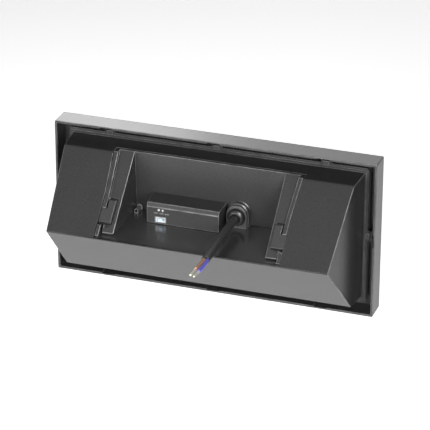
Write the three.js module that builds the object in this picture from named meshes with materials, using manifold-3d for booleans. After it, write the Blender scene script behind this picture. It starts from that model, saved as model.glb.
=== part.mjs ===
// LED wall light with a wedge-shaped rear housing, seen in the photograph from behind.
// Lengths are in millimetres. X runs to the right as seen from the front, Y rearwards, Z up.
// The case is drawn with Y = 0 on the rear rim of its front frame and Z = 0 at mid height,
// and the finished group is moved so that the origin is the middle of the wall bracket's seat.

import * as THREE from "three";
import { mergeVertices } from "three/addons/utils/BufferGeometryUtils.js";
import Module from "manifold-3d";

const wasm = await Module();
wasm.setup();

// Values that all pieces share
const gap = 0.3;
const overrun = 1;
const slopeAngle = Math.PI / 4;
const boreSides = 20;
const cornerSteps = 4;

// Front frame: a shallow tray, open to the rear, whose bezel holds the diffuser
const frameWidth = 300;
const frameHeight = 147;
const frameDepth = 22.4;
const frameWall = 2.2;
const frameCornerRadius = 1.2;
const frameEdgeRadius = 1.4;
const bezelThickness = 2;
const bezelWidth = 13;

// Rear housing: a wedge that ends in a ridge, with a flange all round inside the frame
const flangeInset = 10.1;
const flangeHeightInset = 9.1;
const flangeSetback = 11;
const flangeThickness = 2.4;
const flangeCornerRadius = 3;
const flangeGrooveInset = 1.1;
const flangeGrooveWidth = 1.2;
const flangeGrooveDepth = 0.5;
const bodyInset = 3.3;
const bodyHeightInset = 4.5;
const creaseSetback = 16.3;
const ridgeRadius = 1.2;
const ridgeHalfWidth = 129.5;
const creaseRadius = 4;
const topDrop = 1.6;
const housingWall = 2.2;
const skirtLength = 1.9;

// Snap fits that hold the housing in the frame: a loop on the flange round a hook on the frame
const clipSpacing = 101;
const hookWidth = 5.6;
const hookThickness = 1.6;
const hookBarb = 1.6;
const hookBarbThickness = 1;
const hookClearance = 0.7;
const loopLeg = 1.3;
const notchDepth = 1;
const notchClearance = 1.2;

// Niche in the upper slope, and the mounting cassette that lines it
const nicheHalfWidth = 70;
const nicheFloorHeight = 0.5;
const nicheFloorThickness = 2.2;
const floorMargin = 2;
const railWidth = 17.9;
const cutTaper = 2.7;
const taperMargin = 2.4;
const railDepth = 5.2;
const railEndClearance = 1.9;
const lipRise = 0.15;
const shoulderDrop = 1.3;
const shoulderWidth = 3.5;
const cassetteWall = 2.2;
const cassetteFlange = 10;
const backWallFoot = 4.2;

// Spring latches in the lower half of the rails, and the feet under them
const footLength = 8.46;
const latchInset = 3.7;
const latchLength = 24.4;
const latchHeadLength = 13.3;
const latchNose = 3.5;
const latchLead = 0.2;
const latchEdgeRadius = 0.5;
const latchClearance = 0.45;
const latchSlotWidth = 1.4;
const latchSlotLength = 8;
const footDentInset = 3.3;
const footDentMargin = 0.7;
const footDentTaper = 2.2;
const footDentLength = 4.4;
const footDentDepth = 1.7;
const footDentStep = 1;
const footSlotWidth = 1.3;
const footRibWidth = 2.9;
const footRibChamfer = 2.2;

// Screws that hold the cassette to the housing from inside
const screwRadius = 1.3;
const screwHeadRadius = 2.6;
const screwHeadHeight = 1.6;
const bossRadius = 3.2;

// Driver box in the niche, with the colour temperature switch in its face
const driverWidth = 67.3;
const driverInset = 18.2;
const driverFront = 28.6;
const driverFaceHeight = 15.8;
const driverChamferRise = 3.6;
const driverChamferRun = 2;
const driverBackHeight = 19.6;
const driverFlare = 2.4;
const driverWall = 1.6;
const postRadius = 3;
const boardThickness = 1.2;
const switchInset = 12.75;
const switchCentreHeight = 4.85;
const switchWidth = 9.1;
const switchHeight = 4.6;
const switchDepth = 6;
const switchRim = 0.5;
const switchWellDepth = 1.5;
const sliderWidth = 3.7;
const sliderRise = 0.5;
const sliderTravel = 2;
const sliderStemWidth = 1.8;
const sliderStemHeight = 1.4;
const switchRibWidth = 0.3;
const switchRibRise = 0.35;
const switchRibPairs = 3;
const lensRadius = 0.9;
const lensHeight = 14.1;
const lensSpacing = 3.7;
const lensRise = 0.25;

// Cable gland and the cut cable
const glandArchHeight = 12.9;
const glandBossRadius = 11.2;
const glandBossFront = 11.2;
const glandPlateRadius = 9.5;
const glandPlateThickness = 2.7;
const glandNutRadius = 7.5;
const glandNutRise = 3.9;
const glandNutMouthWall = 1;
const glandSealWall = 2;
const cableHeight = 11.4;
const cableRadius = 3.65;
const cableClearance = 0.45;
const cableSides = 12;
const cableSteps = 18;
const coreRadius = 1.6;
const coreSides = 8;
const coreSteps = 8;
const coreSpread = 3.6;
const endRadius = 1.1;
const innerCoreRadius = 1.3;
const innerCoreSpread = 3.2;
const innerCoreBend = 2.6;

// Breather in the corner of the niche
const ventHalfWidth = 1.7;
const ventHeight = 4.4;
const ventLength = 10;
const ventCollar = 0.8;
const ventCollarLength = 1.4;
const ventBoreRadius = 1.1;
const ventBoreDepth = 4;
const ventPlugSetback = 0.6;

// Diffuser and the light source behind it
const diffuserThickness = 2.2;
const diffuserMargin = 2.4;
const sealThickness = 0.7;
const sealWidth = 4;
const plateThickness = 1.5;
const plateSetback = 1.3;
const plateMargin = 1;
const ledgeHeight = 6;
const ledgeDepth = 3;
const stripWidth = 12;
const stripThickness = 1.2;
const stripEndMargin = 8;
const stripCount = 3;
const ledPitch = 20;
const ledLength = 3.5;
const ledHeight = 2.8;
const ledThickness = 0.8;
const linkWidth = 5;
const leadRadius = 0.9;
const leadSpacing = 4;

// The cable's free stretch as offsets from the gland's mouth: across, rearwards, up
const sheathRoute = [
  [0, -7, 0],
  [0, 0, 0],
  [0, 6, -0.05],
  [0, 12, -0.15],
  [0, 18, -0.3],
  [0, 24, -0.5],
  [0, 30, -0.75],
  [0, 36, -1.05],
  [0, 42, -1.4],
  [0, 48, -1.75],
  [0, 54, -2.15],
  [0, 60, -2.55],
  [0, 66, -2.95],
  [0, 72, -3.35],
  [0, 78.2, -3.75],
];
const brownRoute = [
  [1.55, 78.5, -3.7],
  [1.6, 83, -3.75],
  [1.75, 88, -3.6],
  [1.8, 93, -3.3],
  [1.75, 99, -3],
];
const blueRoute = [
  [-1.65, 78.5, -3.9],
  [-1.7, 83, -4.1],
  [-1.75, 88, -4.2],
  [-1.8, 94, -4.1],
  [-1.7, 100.6, -3.9],
];
const brownEndRoute = [
  [1.75, 99.3, -3],
  [1.8, 106, -2.7],
  [1.9, 112.6, -2.6],
];
const blueEndRoute = [
  [-1.7, 100.9, -3.9],
  [-1.55, 107, -3.4],
  [-1.4, 113, -3.1],
];

// Places worked out from the sizes above
const halfFrameWidth = frameWidth / 2;
const halfFrameHeight = frameHeight / 2;
const bezelInner = -frameDepth + bezelThickness;
const windowHalfWidth = halfFrameWidth - bezelWidth;
const windowHalfHeight = halfFrameHeight - bezelWidth;
const diffuserHalfWidth = windowHalfWidth + diffuserMargin;
const diffuserHalfHeight = windowHalfHeight + diffuserMargin;
const diffuserFront = bezelInner + gap + sealThickness + gap;
const diffuserRear = diffuserFront + diffuserThickness;
const gasketFront = diffuserRear + gap;
const gasketRear = gasketFront + sealThickness;
const flangeRear = -flangeSetback;
const flangeFront = flangeRear - flangeThickness;
const skirtFront = Math.max(flangeFront - skirtLength, gasketRear + gap);
const flangeHalfWidth = halfFrameWidth - flangeInset;
const flangeHalfHeight = halfFrameHeight - flangeHeightInset;
const bodyHalfWidth = flangeHalfWidth - bodyInset;
const bodyHalfHeight = flangeHalfHeight - bodyHeightInset;
const creaseHeight = bodyHalfHeight - topDrop;
const ridgeReach = creaseSetback + creaseHeight;
const sideDraft = (bodyHalfWidth - ridgeHalfWidth) / (ridgeReach + flangeSetback);
const topDraft = topDrop / (creaseSetback + flangeSetback);
const slopeRatio = Math.SQRT2;
const railSum = ridgeReach - railDepth * slopeRatio;
const lipHeight = creaseHeight + lipRise;
const backWallTop = railSum - lipHeight;
const cutHalfWidth = nicheHalfWidth + railWidth;
const cutHalfWidthLow = cutHalfWidth - cutTaper;
const railEndHeight = nicheFloorHeight + railEndClearance;
const railLength = (lipHeight - railEndHeight) * slopeRatio;
const shoulderHeight = railDepth - shoulderDrop;
const shoulderInner = cutHalfWidthLow - gap - shoulderWidth;
const latchInner = nicheHalfWidth + latchInset;
const latchOuter = shoulderInner - latchSlotWidth;
const latchHeadOuter = cutHalfWidthLow - gap * 2;
const latchEnd = railLength - footLength;
const latchStart = latchEnd - latchLength;
const shoulderEnd = latchEnd - latchHeadLength;
const taperEnd = latchStart - taperMargin;
const footRibOuter = cutHalfWidthLow - gap;
const footSlotOuter = footRibOuter - footRibWidth;
const cassetteHalfWidth = cutHalfWidth + cassetteFlange;
const wallLean = (backWallTop - backWallFoot) / (lipHeight - nicheFloorHeight);
const seatY = backWallTop + railLength / slopeRatio / 2;
const seatZ = lipHeight - railLength / slopeRatio / 2;
const driverEnd = nicheHalfWidth - driverInset;
const driverCentreX = driverEnd - driverWidth / 2;
const switchCentreX = driverEnd - switchInset;
const glandX = driverEnd - driverWidth - glandBossRadius - gap;
const cableBore = cableRadius + cableClearance;
const glandPlateFront = glandBossFront + gap + glandPlateThickness;
const glandMouth = glandPlateFront + gap + glandNutRise;
const plateFront = -plateSetback - plateThickness;

// The front plane of the niche's back wall at one height
function backWallAt(height) {
  return backWallFoot + (height - nicheFloorHeight) * wallLean;
}

// A geometry as a solid that can be joined and cut
function toSolid(geometry) {
  const bare = geometry.clone();
  bare.deleteAttribute("normal");
  bare.deleteAttribute("uv");
  const merged = mergeVertices(bare);
  const mesh = new wasm.Mesh({
    numProp: 3,
    vertProperties: merged.getAttribute("position").array,
    triVerts: Uint32Array.from(merged.getIndex().array),
  });
  return new wasm.Manifold(mesh);
}

function toGeometry(solid) {
  const mesh = solid.getMesh();
  const geometry = new THREE.BufferGeometry();
  geometry.setAttribute("position", new THREE.BufferAttribute(mesh.vertProperties, 3));
  geometry.setIndex(new THREE.BufferAttribute(mesh.triVerts, 1));
  geometry.computeVertexNormals();
  return geometry;
}

function joined(solids) {
  return solids.reduce((whole, solid) => whole.add(solid));
}

function without(solid, cutters) {
  return cutters.reduce((rest, cutter) => rest.subtract(cutter), solid);
}

function finish(color, roughness, metalness) {
  return new THREE.MeshStandardMaterial({ color, roughness, metalness });
}

function piece(name, solid, material) {
  const mesh = new THREE.Mesh(toGeometry(solid), material);
  mesh.name = name;
  return mesh;
}

// One piece for each place, numbered from 1
function pieces(name, places, solidAt, material) {
  return places.map((place, index) => piece(`${name}_${index + 1}`, solidAt(place), material()));
}

// Turns that lay an outline drawn in a plane across X, Y or the rear slope
const axisX = new THREE.Vector3(1, 0, 0);
const axisY = new THREE.Vector3(0, 1, 0);
const axisZ = new THREE.Vector3(0, 0, 1);
const acrossX = new THREE.Matrix4().makeBasis(axisY, axisZ, axisX);
const acrossY = new THREE.Matrix4().makeBasis(axisX, axisZ, axisY.clone().negate());
const ontoSlope = new THREE.Matrix4()
  .makeTranslation(0, backWallTop, lipHeight)
  .multiply(new THREE.Matrix4().makeRotationX(-slopeAngle));

function extruded(outline, depth) {
  const shape = new THREE.Shape(outline);
  return new THREE.ExtrudeGeometry(shape, { depth, bevelEnabled: false });
}

// An outline in Y and Z, drawn out along X
function prismX(outline, fromX, toX) {
  const geometry = extruded(outline, toX - fromX);
  geometry.applyMatrix4(acrossX);
  geometry.translate(fromX, 0, 0);
  return toSolid(geometry);
}

// An outline in X and Z, drawn out along Y
function prismY(outline, fromY, toY) {
  const geometry = extruded(outline, toY - fromY);
  geometry.applyMatrix4(acrossY);
  geometry.translate(0, toY, 0);
  return toSolid(geometry);
}

// An outline in X and Y, drawn out along Z
function prismZ(outline, fromZ, toZ) {
  const geometry = extruded(outline, toZ - fromZ);
  geometry.translate(0, 0, fromZ);
  return toSolid(geometry);
}

function boxGeometry([x0, x1], [y0, y1], [z0, z1]) {
  const geometry = new THREE.BoxGeometry(x1 - x0, y1 - y0, z1 - z0);
  geometry.translate((x0 + x1) / 2, (y0 + y1) / 2, (z0 + z1) / 2);
  return geometry;
}

function block(x, y, z) {
  return toSolid(boxGeometry(x, y, z));
}

// A block drawn on the rear slope: across, down the slope, and out from the rails' face
function slopeBlock(across, down, out) {
  return toSolid(boxGeometry(across, down, out).applyMatrix4(ontoSlope));
}

// An outline drawn down the slope and out from it, drawn out across it
function slopePrism(outline, [x0, x1]) {
  const geometry = extruded(rounded(outline), x1 - x0);
  geometry.applyMatrix4(acrossX);
  geometry.translate(x0, 0, 0);
  return toSolid(geometry.applyMatrix4(ontoSlope));
}

// An outline drawn across and down the slope, drawn out from the rails' face
function slopePlate(points, [from, to]) {
  const outline = points.map(([across, down]) => new THREE.Vector2(across, down));
  const geometry = extruded(outline, to - from);
  geometry.translate(0, 0, from);
  return toSolid(geometry.applyMatrix4(ontoSlope));
}

function slopeCylinder(radius, across, down, [from, to]) {
  const geometry = new THREE.CylinderGeometry(radius, radius, to - from, boreSides);
  geometry.rotateX(Math.PI / 2);
  geometry.translate(across, down, (from + to) / 2);
  return toSolid(geometry.applyMatrix4(ontoSlope));
}

function cylinderY(radius, x, z, [from, to]) {
  const geometry = new THREE.CylinderGeometry(radius, radius, to - from, boreSides);
  geometry.translate(x, (from + to) / 2, z);
  return toSolid(geometry);
}

// A closed outline whose corners are given as [a, b, radius]
function rounded(corners) {
  const points = [];
  corners.forEach(([a, b, radius], index) => {
    const corner = new THREE.Vector2(a, b);
    if (radius === 0) {
      points.push(corner);
      return;
    }
    const [beforeA, beforeB] = corners.at(index - 1);
    const [afterA, afterB] = corners[(index + 1) % corners.length];
    const before = new THREE.Vector2(beforeA, beforeB).sub(corner).normalize();
    const after = new THREE.Vector2(afterA, afterB).sub(corner).normalize();
    const half = Math.acos(before.dot(after)) / 2;
    const start = before.clone().multiplyScalar(radius / Math.tan(half));
    const end = after.clone().multiplyScalar(radius / Math.tan(half));
    const centre = before.clone().add(after).normalize().multiplyScalar(radius / Math.sin(half));
    const from = start.clone().sub(centre).angle();
    const turn = end.clone().sub(centre).angle() - from;
    const sweep = turn - 2 * Math.PI * Math.round(turn / (2 * Math.PI));
    for (let step = 0; step <= cornerSteps; step += 1) {
      const angle = from + (sweep * step) / cornerSteps;
      const spoke = new THREE.Vector2(Math.cos(angle), Math.sin(angle)).multiplyScalar(radius);
      points.push(spoke.add(centre).add(corner));
    }
  });
  return points;
}

function rectangle(halfWidth, halfHeight, radius) {
  return rounded([
    [-halfWidth, -halfHeight, radius],
    [halfWidth, -halfHeight, radius],
    [halfWidth, halfHeight, radius],
    [-halfWidth, halfHeight, radius],
  ]);
}

// An arch: upright sides from the foot to the centre, and a half round above them
function arch(x, centre, radius, foot) {
  const points = [new THREE.Vector2(x - radius, foot), new THREE.Vector2(x + radius, foot)];
  const steps = boreSides;
  for (let step = 0; step <= steps; step += 1) {
    const angle = (Math.PI * step) / steps;
    points.push(new THREE.Vector2(x + radius * Math.cos(angle), centre + radius * Math.sin(angle)));
  }
  return points;
}

// A solid through rings of equal point counts, from the front ring to the rear one
function loft(rings) {
  const count = rings[0].outline.length;
  const positions = rings.flatMap(({ y, outline }) => outline.flatMap((point) => [point.x, y, point.y]));
  const indices = [];
  for (let ring = 0; ring < rings.length - 1; ring += 1) {
    for (let i = 0; i < count; i += 1) {
      const next = (i + 1) % count;
      const front = ring * count;
      const rear = front + count;
      indices.push(front + i, rear + i, rear + next, front + i, rear + next, front + next);
    }
  }
  const last = (rings.length - 1) * count;
  for (let i = 1; i < count - 1; i += 1) {
    indices.push(0, i, i + 1, last, last + i + 1, last + i);
  }
  const geometry = new THREE.BufferGeometry();
  geometry.setAttribute("position", new THREE.Float32BufferAttribute(positions, 3));
  geometry.setIndex(indices);
  return toSolid(geometry);
}

function tube(route, radius, sides, steps) {
  const points = route.map(([x, y, z]) => new THREE.Vector3(x, y, z));
  const section = [];
  for (let side = 0; side < sides; side += 1) {
    const angle = (2 * Math.PI * side) / sides;
    section.push(new THREE.Vector2(radius * Math.cos(angle), radius * Math.sin(angle)));
  }
  const extrudePath = new THREE.CatmullRomCurve3(points);
  const options = { steps, extrudePath, bevelEnabled: false };
  return toSolid(new THREE.ExtrudeGeometry(new THREE.Shape(section), options));
}

// Front frame
// Places of the snap fits round the frame, each as the turn of a fit drawn on the top edge
const clipPlaces = [
  ...[-clipSpacing, 0, clipSpacing].flatMap((x) => [
    { along: x, turn: 0, edge: flangeHalfHeight, wall: halfFrameHeight - frameWall },
    { along: -x, turn: Math.PI, edge: flangeHalfHeight, wall: halfFrameHeight - frameWall },
  ]),
  { along: 0, turn: Math.PI / 2, edge: flangeHalfWidth, wall: halfFrameWidth - frameWall },
  { along: 0, turn: -Math.PI / 2, edge: flangeHalfWidth, wall: halfFrameWidth - frameWall },
];

function clipBlock({ along, turn }, halfWidth, [y0, y1], [out0, out1]) {
  const geometry = boxGeometry([along - halfWidth, along + halfWidth], [y0, y1], [out0, out1]);
  return toSolid(geometry.rotateY(turn));
}

function frameHook(place) {
  const inner = place.edge + gap * 2;
  const outer = inner + hookThickness;
  const barbFoot = flangeRear + gap;
  const barbTop = barbFoot + hookBarbThickness;
  const post = clipBlock(place, hookWidth / 2, [bezelInner - overrun, barbTop], [inner, outer]);
  const barb = clipBlock(place, hookWidth / 2, [barbFoot, barbTop], [place.edge - hookBarb, outer]);
  return post.add(barb);
}

function frameNotch(place) {
  const halfWidth = hookWidth / 2 + hookClearance + loopLeg + notchClearance;
  const y = [flangeFront - gap, overrun];
  return clipBlock(place, halfWidth, y, [place.wall - overrun, place.wall + notchDepth]);
}

function frontFrame() {
  const rings = [];
  for (let step = 0; step <= cornerSteps; step += 1) {
    const angle = (Math.PI / 2) * (step / cornerSteps);
    const inset = frameEdgeRadius * (1 - Math.sin(angle));
    rings.push({
      y: -frameDepth + frameEdgeRadius * (1 - Math.cos(angle)),
      outline: rectangle(halfFrameWidth - inset, halfFrameHeight - inset, frameCornerRadius),
    });
  }
  rings.push({ y: 0, outline: rectangle(halfFrameWidth, halfFrameHeight, frameCornerRadius) });
  const tray = rectangle(halfFrameWidth - frameWall, halfFrameHeight - frameWall, 0);
  const window = rectangle(windowHalfWidth, windowHalfHeight, frameCornerRadius);
  const shell = without(loft(rings), [
    prismY(tray, bezelInner, overrun),
    prismY(window, -frameDepth - overrun, bezelInner + overrun),
    ...clipPlaces.map(frameNotch),
  ]);
  return joined([shell, ...clipPlaces.map(frameHook)]);
}

function diffuser() {
  const panel = rectangle(diffuserHalfWidth, diffuserHalfHeight, frameCornerRadius);
  return prismY(panel, diffuserFront, diffuserRear);
}

function sealRing(halfWidth, halfHeight, front) {
  const outer = rectangle(halfWidth, halfHeight, frameCornerRadius);
  const inner = rectangle(halfWidth - sealWidth, halfHeight - sealWidth, frameCornerRadius);
  const rear = front + sealThickness;
  return prismY(outer, front, rear).subtract(prismY(inner, front - overrun, rear + overrun));
}

// Rear housing
// The wedge's side view, drawn in by an inset: top and bottom faces, two slopes and the ridge
function wedgeProfile(inset, front, radius) {
  const reach = ridgeReach - inset * slopeRatio;
  const heightAt = (y) => bodyHalfHeight - inset - (y - flangeRear) * topDraft;
  const creaseY = (reach - heightAt(0)) / (1 - topDraft);
  const creaseZ = reach - creaseY;
  return rounded([
    [front, -heightAt(front), 0],
    [creaseY, -creaseZ, Math.max(radius - inset, gap)],
    [reach, 0, Math.max(ridgeRadius - inset, gap)],
    [creaseY, creaseZ, Math.max(radius - inset, gap)],
    [front, heightAt(front), 0],
  ]);
}

// The wedge's top view, which narrows rearwards
function wedgePlan(inset, front) {
  const halfAt = (y) => bodyHalfWidth - inset - (y - flangeRear) * sideDraft;
  const rear = ridgeReach + overrun;
  return rounded([
    [-halfAt(front), front, 0],
    [halfAt(front), front, 0],
    [halfAt(rear), rear, 0],
    [-halfAt(rear), rear, 0],
  ]);
}

function wedge(inset, front) {
  const side = prismX(wedgeProfile(inset, front, creaseRadius), -halfFrameWidth, halfFrameWidth);
  return side.intersect(prismZ(wedgePlan(inset, front), -halfFrameHeight, halfFrameHeight));
}

function flangeLoop(place) {
  const inner = hookWidth / 2 + hookClearance;
  const top = place.edge + gap * 2 + hookThickness + hookClearance;
  const y = [flangeFront, flangeRear];
  const outside = clipBlock(place, inner + loopLeg, y, [place.edge - overrun, top + loopLeg]);
  const through = [flangeFront - overrun, flangeRear + overrun];
  return outside.subtract(clipBlock(place, inner, through, [place.edge - overrun * 2, top]));
}

function flangeGroove() {
  const outerX = flangeHalfWidth - flangeGrooveInset;
  const outerZ = flangeHalfHeight - flangeGrooveInset;
  const radius = flangeCornerRadius - flangeGrooveInset;
  const y = [flangeRear - flangeGrooveDepth, flangeRear + overrun];
  const outer = prismY(rectangle(outerX, outerZ, radius), ...y);
  const innerX = outerX - flangeGrooveWidth;
  const innerZ = outerZ - flangeGrooveWidth;
  return outer.subtract(prismY(rectangle(innerX, innerZ, 0), ...y));
}

// Posts on the inner side of the slope that take the cassette's screws
function cassetteScrewPlaces() {
  const across = cutHalfWidth + cassetteFlange / 2;
  const downs = [railLength / 5, (railLength * 4) / 5];
  return [-across, across].flatMap((x) => downs.map((down) => [x, down]));
}

function housingBoss([across, down]) {
  const top = railDepth - housingWall / 2;
  const post = slopeCylinder(bossRadius, across, down, [gap, top]);
  return post.subtract(slopeCylinder(screwRadius + gap, across, down, [-overrun, top - overrun]));
}

// The cut in the slope for the niche: it narrows downwards, then runs straight to the floor
function nicheCut() {
  const front = backWallTop - cassetteWall - gap;
  const low = [-cutHalfWidthLow, cutHalfWidthLow];
  const wide = [-cutHalfWidth, cutHalfWidth];
  const straight = block(low, [front, ridgeReach], [nicheFloorHeight, halfFrameHeight]);
  const lip = block(wide, [front, ridgeReach - lipHeight], [lipHeight - housingWall * 2, halfFrameHeight]);
  const taper = slopePlate([
    [-cutHalfWidth, -overrun],
    [cutHalfWidth, -overrun],
    [cutHalfWidthLow, taperEnd],
    [-cutHalfWidthLow, taperEnd],
  ], [0, railDepth + overrun]);
  return joined([straight, lip, taper]);
}

function plateLedge(side) {
  const wallZ = bodyHalfHeight - housingWall;
  const z = [wallZ - ledgeHeight, wallZ + housingWall / 2].map((value) => value * side);
  const x = [-bodyHalfWidth + housingWall / 2, bodyHalfWidth - housingWall / 2];
  const y = [-plateSetback + gap, -plateSetback + gap + ledgeDepth];
  const bar = block(x, y, [Math.min(...z), Math.max(...z)]);
  return bar.intersect(wedge(housingWall / 2, flangeRear));
}

function plateScrewPlaces() {
  const z = bodyHalfHeight - housingWall - ledgeHeight / 2 - gap;
  const x = bodyHalfWidth - housingWall - stripEndMargin * 2;
  return [-x, x].flatMap((across) => [[across, z], [across, -z]]);
}

function rearHousing() {
  const flange = prismY(rectangle(flangeHalfWidth, flangeHalfHeight, flangeCornerRadius), flangeFront, flangeRear);
  const skirt = prismY(rectangle(bodyHalfWidth, bodyHalfHeight, 0), skirtFront, flangeFront + overrun);
  const outside = joined([wedge(0, flangeRear - overrun), flange, skirt, ...clipPlaces.map(flangeLoop)]);
  const hollow = wedge(housingWall, flangeRear);
  const mouth = rectangle(bodyHalfWidth - housingWall, bodyHalfHeight - housingWall, 0);
  const shell = without(outside, [
    hollow,
    prismY(mouth, skirtFront - overrun, flangeRear + gap),
    flangeGroove(),
    nicheCut(),
  ]);
  const floorSpan = [-cutHalfWidth - floorMargin, cutHalfWidth + floorMargin];
  const floorDepth = [backWallFoot - cassetteWall, ridgeReach];
  const floor = block(floorSpan, floorDepth, [nicheFloorHeight - nicheFloorThickness, nicheFloorHeight]);
  const trimmedFloor = floor.intersect(wedge(0, flangeRear));
  const ledges = [-1, 1].map(plateLedge);
  const bosses = cassetteScrewPlaces().map(housingBoss);
  const whole = joined([shell, trimmedFloor, ...ledges, ...bosses]);
  const ledgeEnd = -plateSetback + gap + ledgeDepth;
  const pilots = plateScrewPlaces().map(([x, z]) => {
    return cylinderY(screwRadius + gap, x, z, [-plateSetback - overrun, ledgeEnd + overrun]);
  });
  return without(whole, pilots);
}

// Mounting cassette
function cassetteBack() {
  const foot = nicheFloorHeight + gap;
  const top = lipHeight;
  return prismX(rounded([
    [backWallAt(foot), foot, 0],
    [backWallAt(top), top, 0],
    [backWallAt(top) - cassetteWall, top, 0],
    [backWallAt(foot) - cassetteWall, foot, 0],
  ]), -nicheHalfWidth - cassetteWall, nicheHalfWidth + cassetteWall);
}

function cassetteCheek(side) {
  const foot = nicheFloorHeight + gap;
  const inner = cassetteWall / 2;
  const outline = rounded([
    [backWallAt(foot) - inner, foot, 0],
    [railSum - railEndHeight - inner * slopeRatio, foot, 0],
    [railSum - railEndHeight - inner * slopeRatio, railEndHeight, 0],
    [backWallTop - inner, lipHeight - inner, 0],
  ]);
  return prismX(outline, ...sideSpan(side, nicheHalfWidth, nicheHalfWidth + cassetteWall));
}

function sideSpan(side, inner, outer) {
  return [side * inner, side * outer].sort((a, b) => a - b);
}

// The raised shoulder between a rail and the cut's edge, which both narrow downwards
function shoulder(side) {
  const cutTop = cutHalfWidth - gap;
  const cutAt = cutHalfWidthLow - gap;
  return slopePlate([
    [side * (cutTop - shoulderWidth), -railDepth],
    [side * cutTop, -railDepth],
    [side * cutTop, -overrun],
    [side * cutAt, taperEnd],
    [side * cutAt, shoulderEnd],
    [side * shoulderInner, shoulderEnd],
    [side * shoulderInner, taperEnd],
  ], [-cassetteWall / 2, shoulderHeight]);
}

// The shoulder's short lower end beside a rail's foot, with its top cut back
function footRib(side) {
  const top = latchEnd + latchClearance * 2;
  const bottom = railLength + railDepth;
  return slopePrism([
    [top, -cassetteWall / 2, 0],
    [bottom, -cassetteWall / 2, 0],
    [bottom, shoulderHeight, 0],
    [top + footRibChamfer, shoulderHeight, 0],
    [top, shoulderHeight - footRibChamfer, 0],
  ], sideSpan(side, footSlotOuter, footRibOuter));
}

// Room for a latch: narrow beside the shoulder, wide below it, with a slot along its outer side
function latchWindow(side) {
  const out = [-cassetteWall * 2, railDepth + overrun];
  const inner = latchInner - latchClearance;
  const below = latchEnd + latchClearance;
  const tongueSpan = sideSpan(side, inner, latchOuter + latchClearance);
  const tongue = slopeBlock(tongueSpan, [latchStart - latchClearance, below], out);
  const slotSpan = sideSpan(side, latchOuter, shoulderInner);
  const slot = slopeBlock(slotSpan, [shoulderEnd - latchSlotLength, below], out);
  const head = slopeBlock(sideSpan(side, inner, footRibOuter), [shoulderEnd, below], out);
  return joined([tongue, slot, head]);
}

// A pocket in the slope whose floor has its own depth at each corner: across, down, out
function pocket(corners, top) {
  const count = corners.length;
  const lid = corners.map(([across, down]) => [across, down, top]);
  const indices = [];
  for (let i = 0; i < count; i += 1) {
    const next = (i + 1) % count;
    indices.push(count + i, count + next, i, count + next, next, i);
  }
  for (let i = 1; i < count - 1; i += 1) {
    indices.push(0, i, i + 1, count, count + i + 1, count + i);
  }
  const geometry = new THREE.BufferGeometry();
  const positions = [...lid, ...corners].flat();
  geometry.setAttribute("position", new THREE.Float32BufferAttribute(positions, 3));
  geometry.setIndex(indices);
  return toSolid(geometry.applyMatrix4(ontoSlope));
}

// The dent under a latch's free end: it falls away outwards, and narrows downwards
function footDent(side) {
  const inner = side * (nicheHalfWidth + footDentInset);
  const outer = side * (footSlotOuter - footSlotWidth - footDentMargin);
  const bottom = latchEnd + footDentLength;
  const corners = [
    [inner, latchEnd, 0],
    [outer, latchEnd, -footDentDepth],
    [outer, bottom, -footDentStep],
    [inner + side * footDentTaper, bottom, 0],
  ];
  return pocket(side > 0 ? corners : corners.reverse(), overrun);
}

function railPlate(side) {
  const long = [-cassetteWall * 2, railLength];
  const plate = slopeBlock(sideSpan(side, nicheHalfWidth, cassetteHalfWidth), long, [-cassetteWall, 0]);
  const footSlot = slopeBlock(
    sideSpan(side, footSlotOuter - footSlotWidth, footSlotOuter),
    [latchEnd, railLength + overrun],
    [-cassetteWall * 2, overrun],
  );
  const screwHoles = cassetteScrewPlaces()
    .filter(([across]) => across * side > 0)
    .map(([across, down]) => slopeCylinder(screwRadius + gap, across, down, [-cassetteWall * 2, overrun]));
  const cut = without(plate, [footSlot, footDent(side), ...screwHoles]);
  return joined([cut, shoulder(side)]).subtract(latchWindow(side)).add(footRib(side));
}

function mountCassette() {
  const raw = joined([
    cassetteBack(),
    cassetteCheek(-1),
    cassetteCheek(1),
    railPlate(-1),
    railPlate(1),
  ]);
  const wide = [-halfFrameWidth, halfFrameWidth];
  const deep = [-frameDepth, ridgeReach];
  const trims = [
    block(wide, deep, [lipHeight, halfFrameHeight]),
    block(wide, deep, [-halfFrameHeight, nicheFloorHeight + gap]),
  ];
  const cleared = raw.intersect(wedge(housingWall + gap, flangeRear).add(nicheSpace()));
  return without(cleared, [...trims, ...wallHoles()]);
}

// The open space of the cut, where the cassette may reach past the housing's inner faces
function nicheSpace() {
  const x = [-cutHalfWidth + gap, cutHalfWidth - gap];
  return block(x, [backWallTop - cassetteWall, ridgeReach], [nicheFloorHeight, lipHeight + overrun]);
}

// Holes in the back wall for the mains cores, the output leads and the driver's screws
function wallHoles() {
  const depth = [-overrun, backWallTop + overrun];
  const cores = innerCoreHeights().flatMap((z) => [
    cylinderY(innerCoreRadius + gap, glandX, z, depth),
    cylinderY(innerCoreRadius + gap, innerCoreEndX(), z, depth),
  ]);
  const leads = leadPlaces().map(([x, z]) => cylinderY(leadRadius + gap, x, z, depth));
  const screws = driverPosts().map(([x, z]) => cylinderY(screwRadius + gap, x, z, depth));
  return [...cores, ...leads, ...screws];
}

function cassetteScrew([across, down]) {
  const headTop = -cassetteWall - gap;
  const head = slopeCylinder(screwHeadRadius, across, down, [headTop - screwHeadHeight, headTop]);
  const tip = railDepth - housingWall / 2 - overrun - gap;
  return head.add(slopeCylinder(screwRadius, across, down, [headTop - screwHeadHeight / 2, tip]));
}

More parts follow.
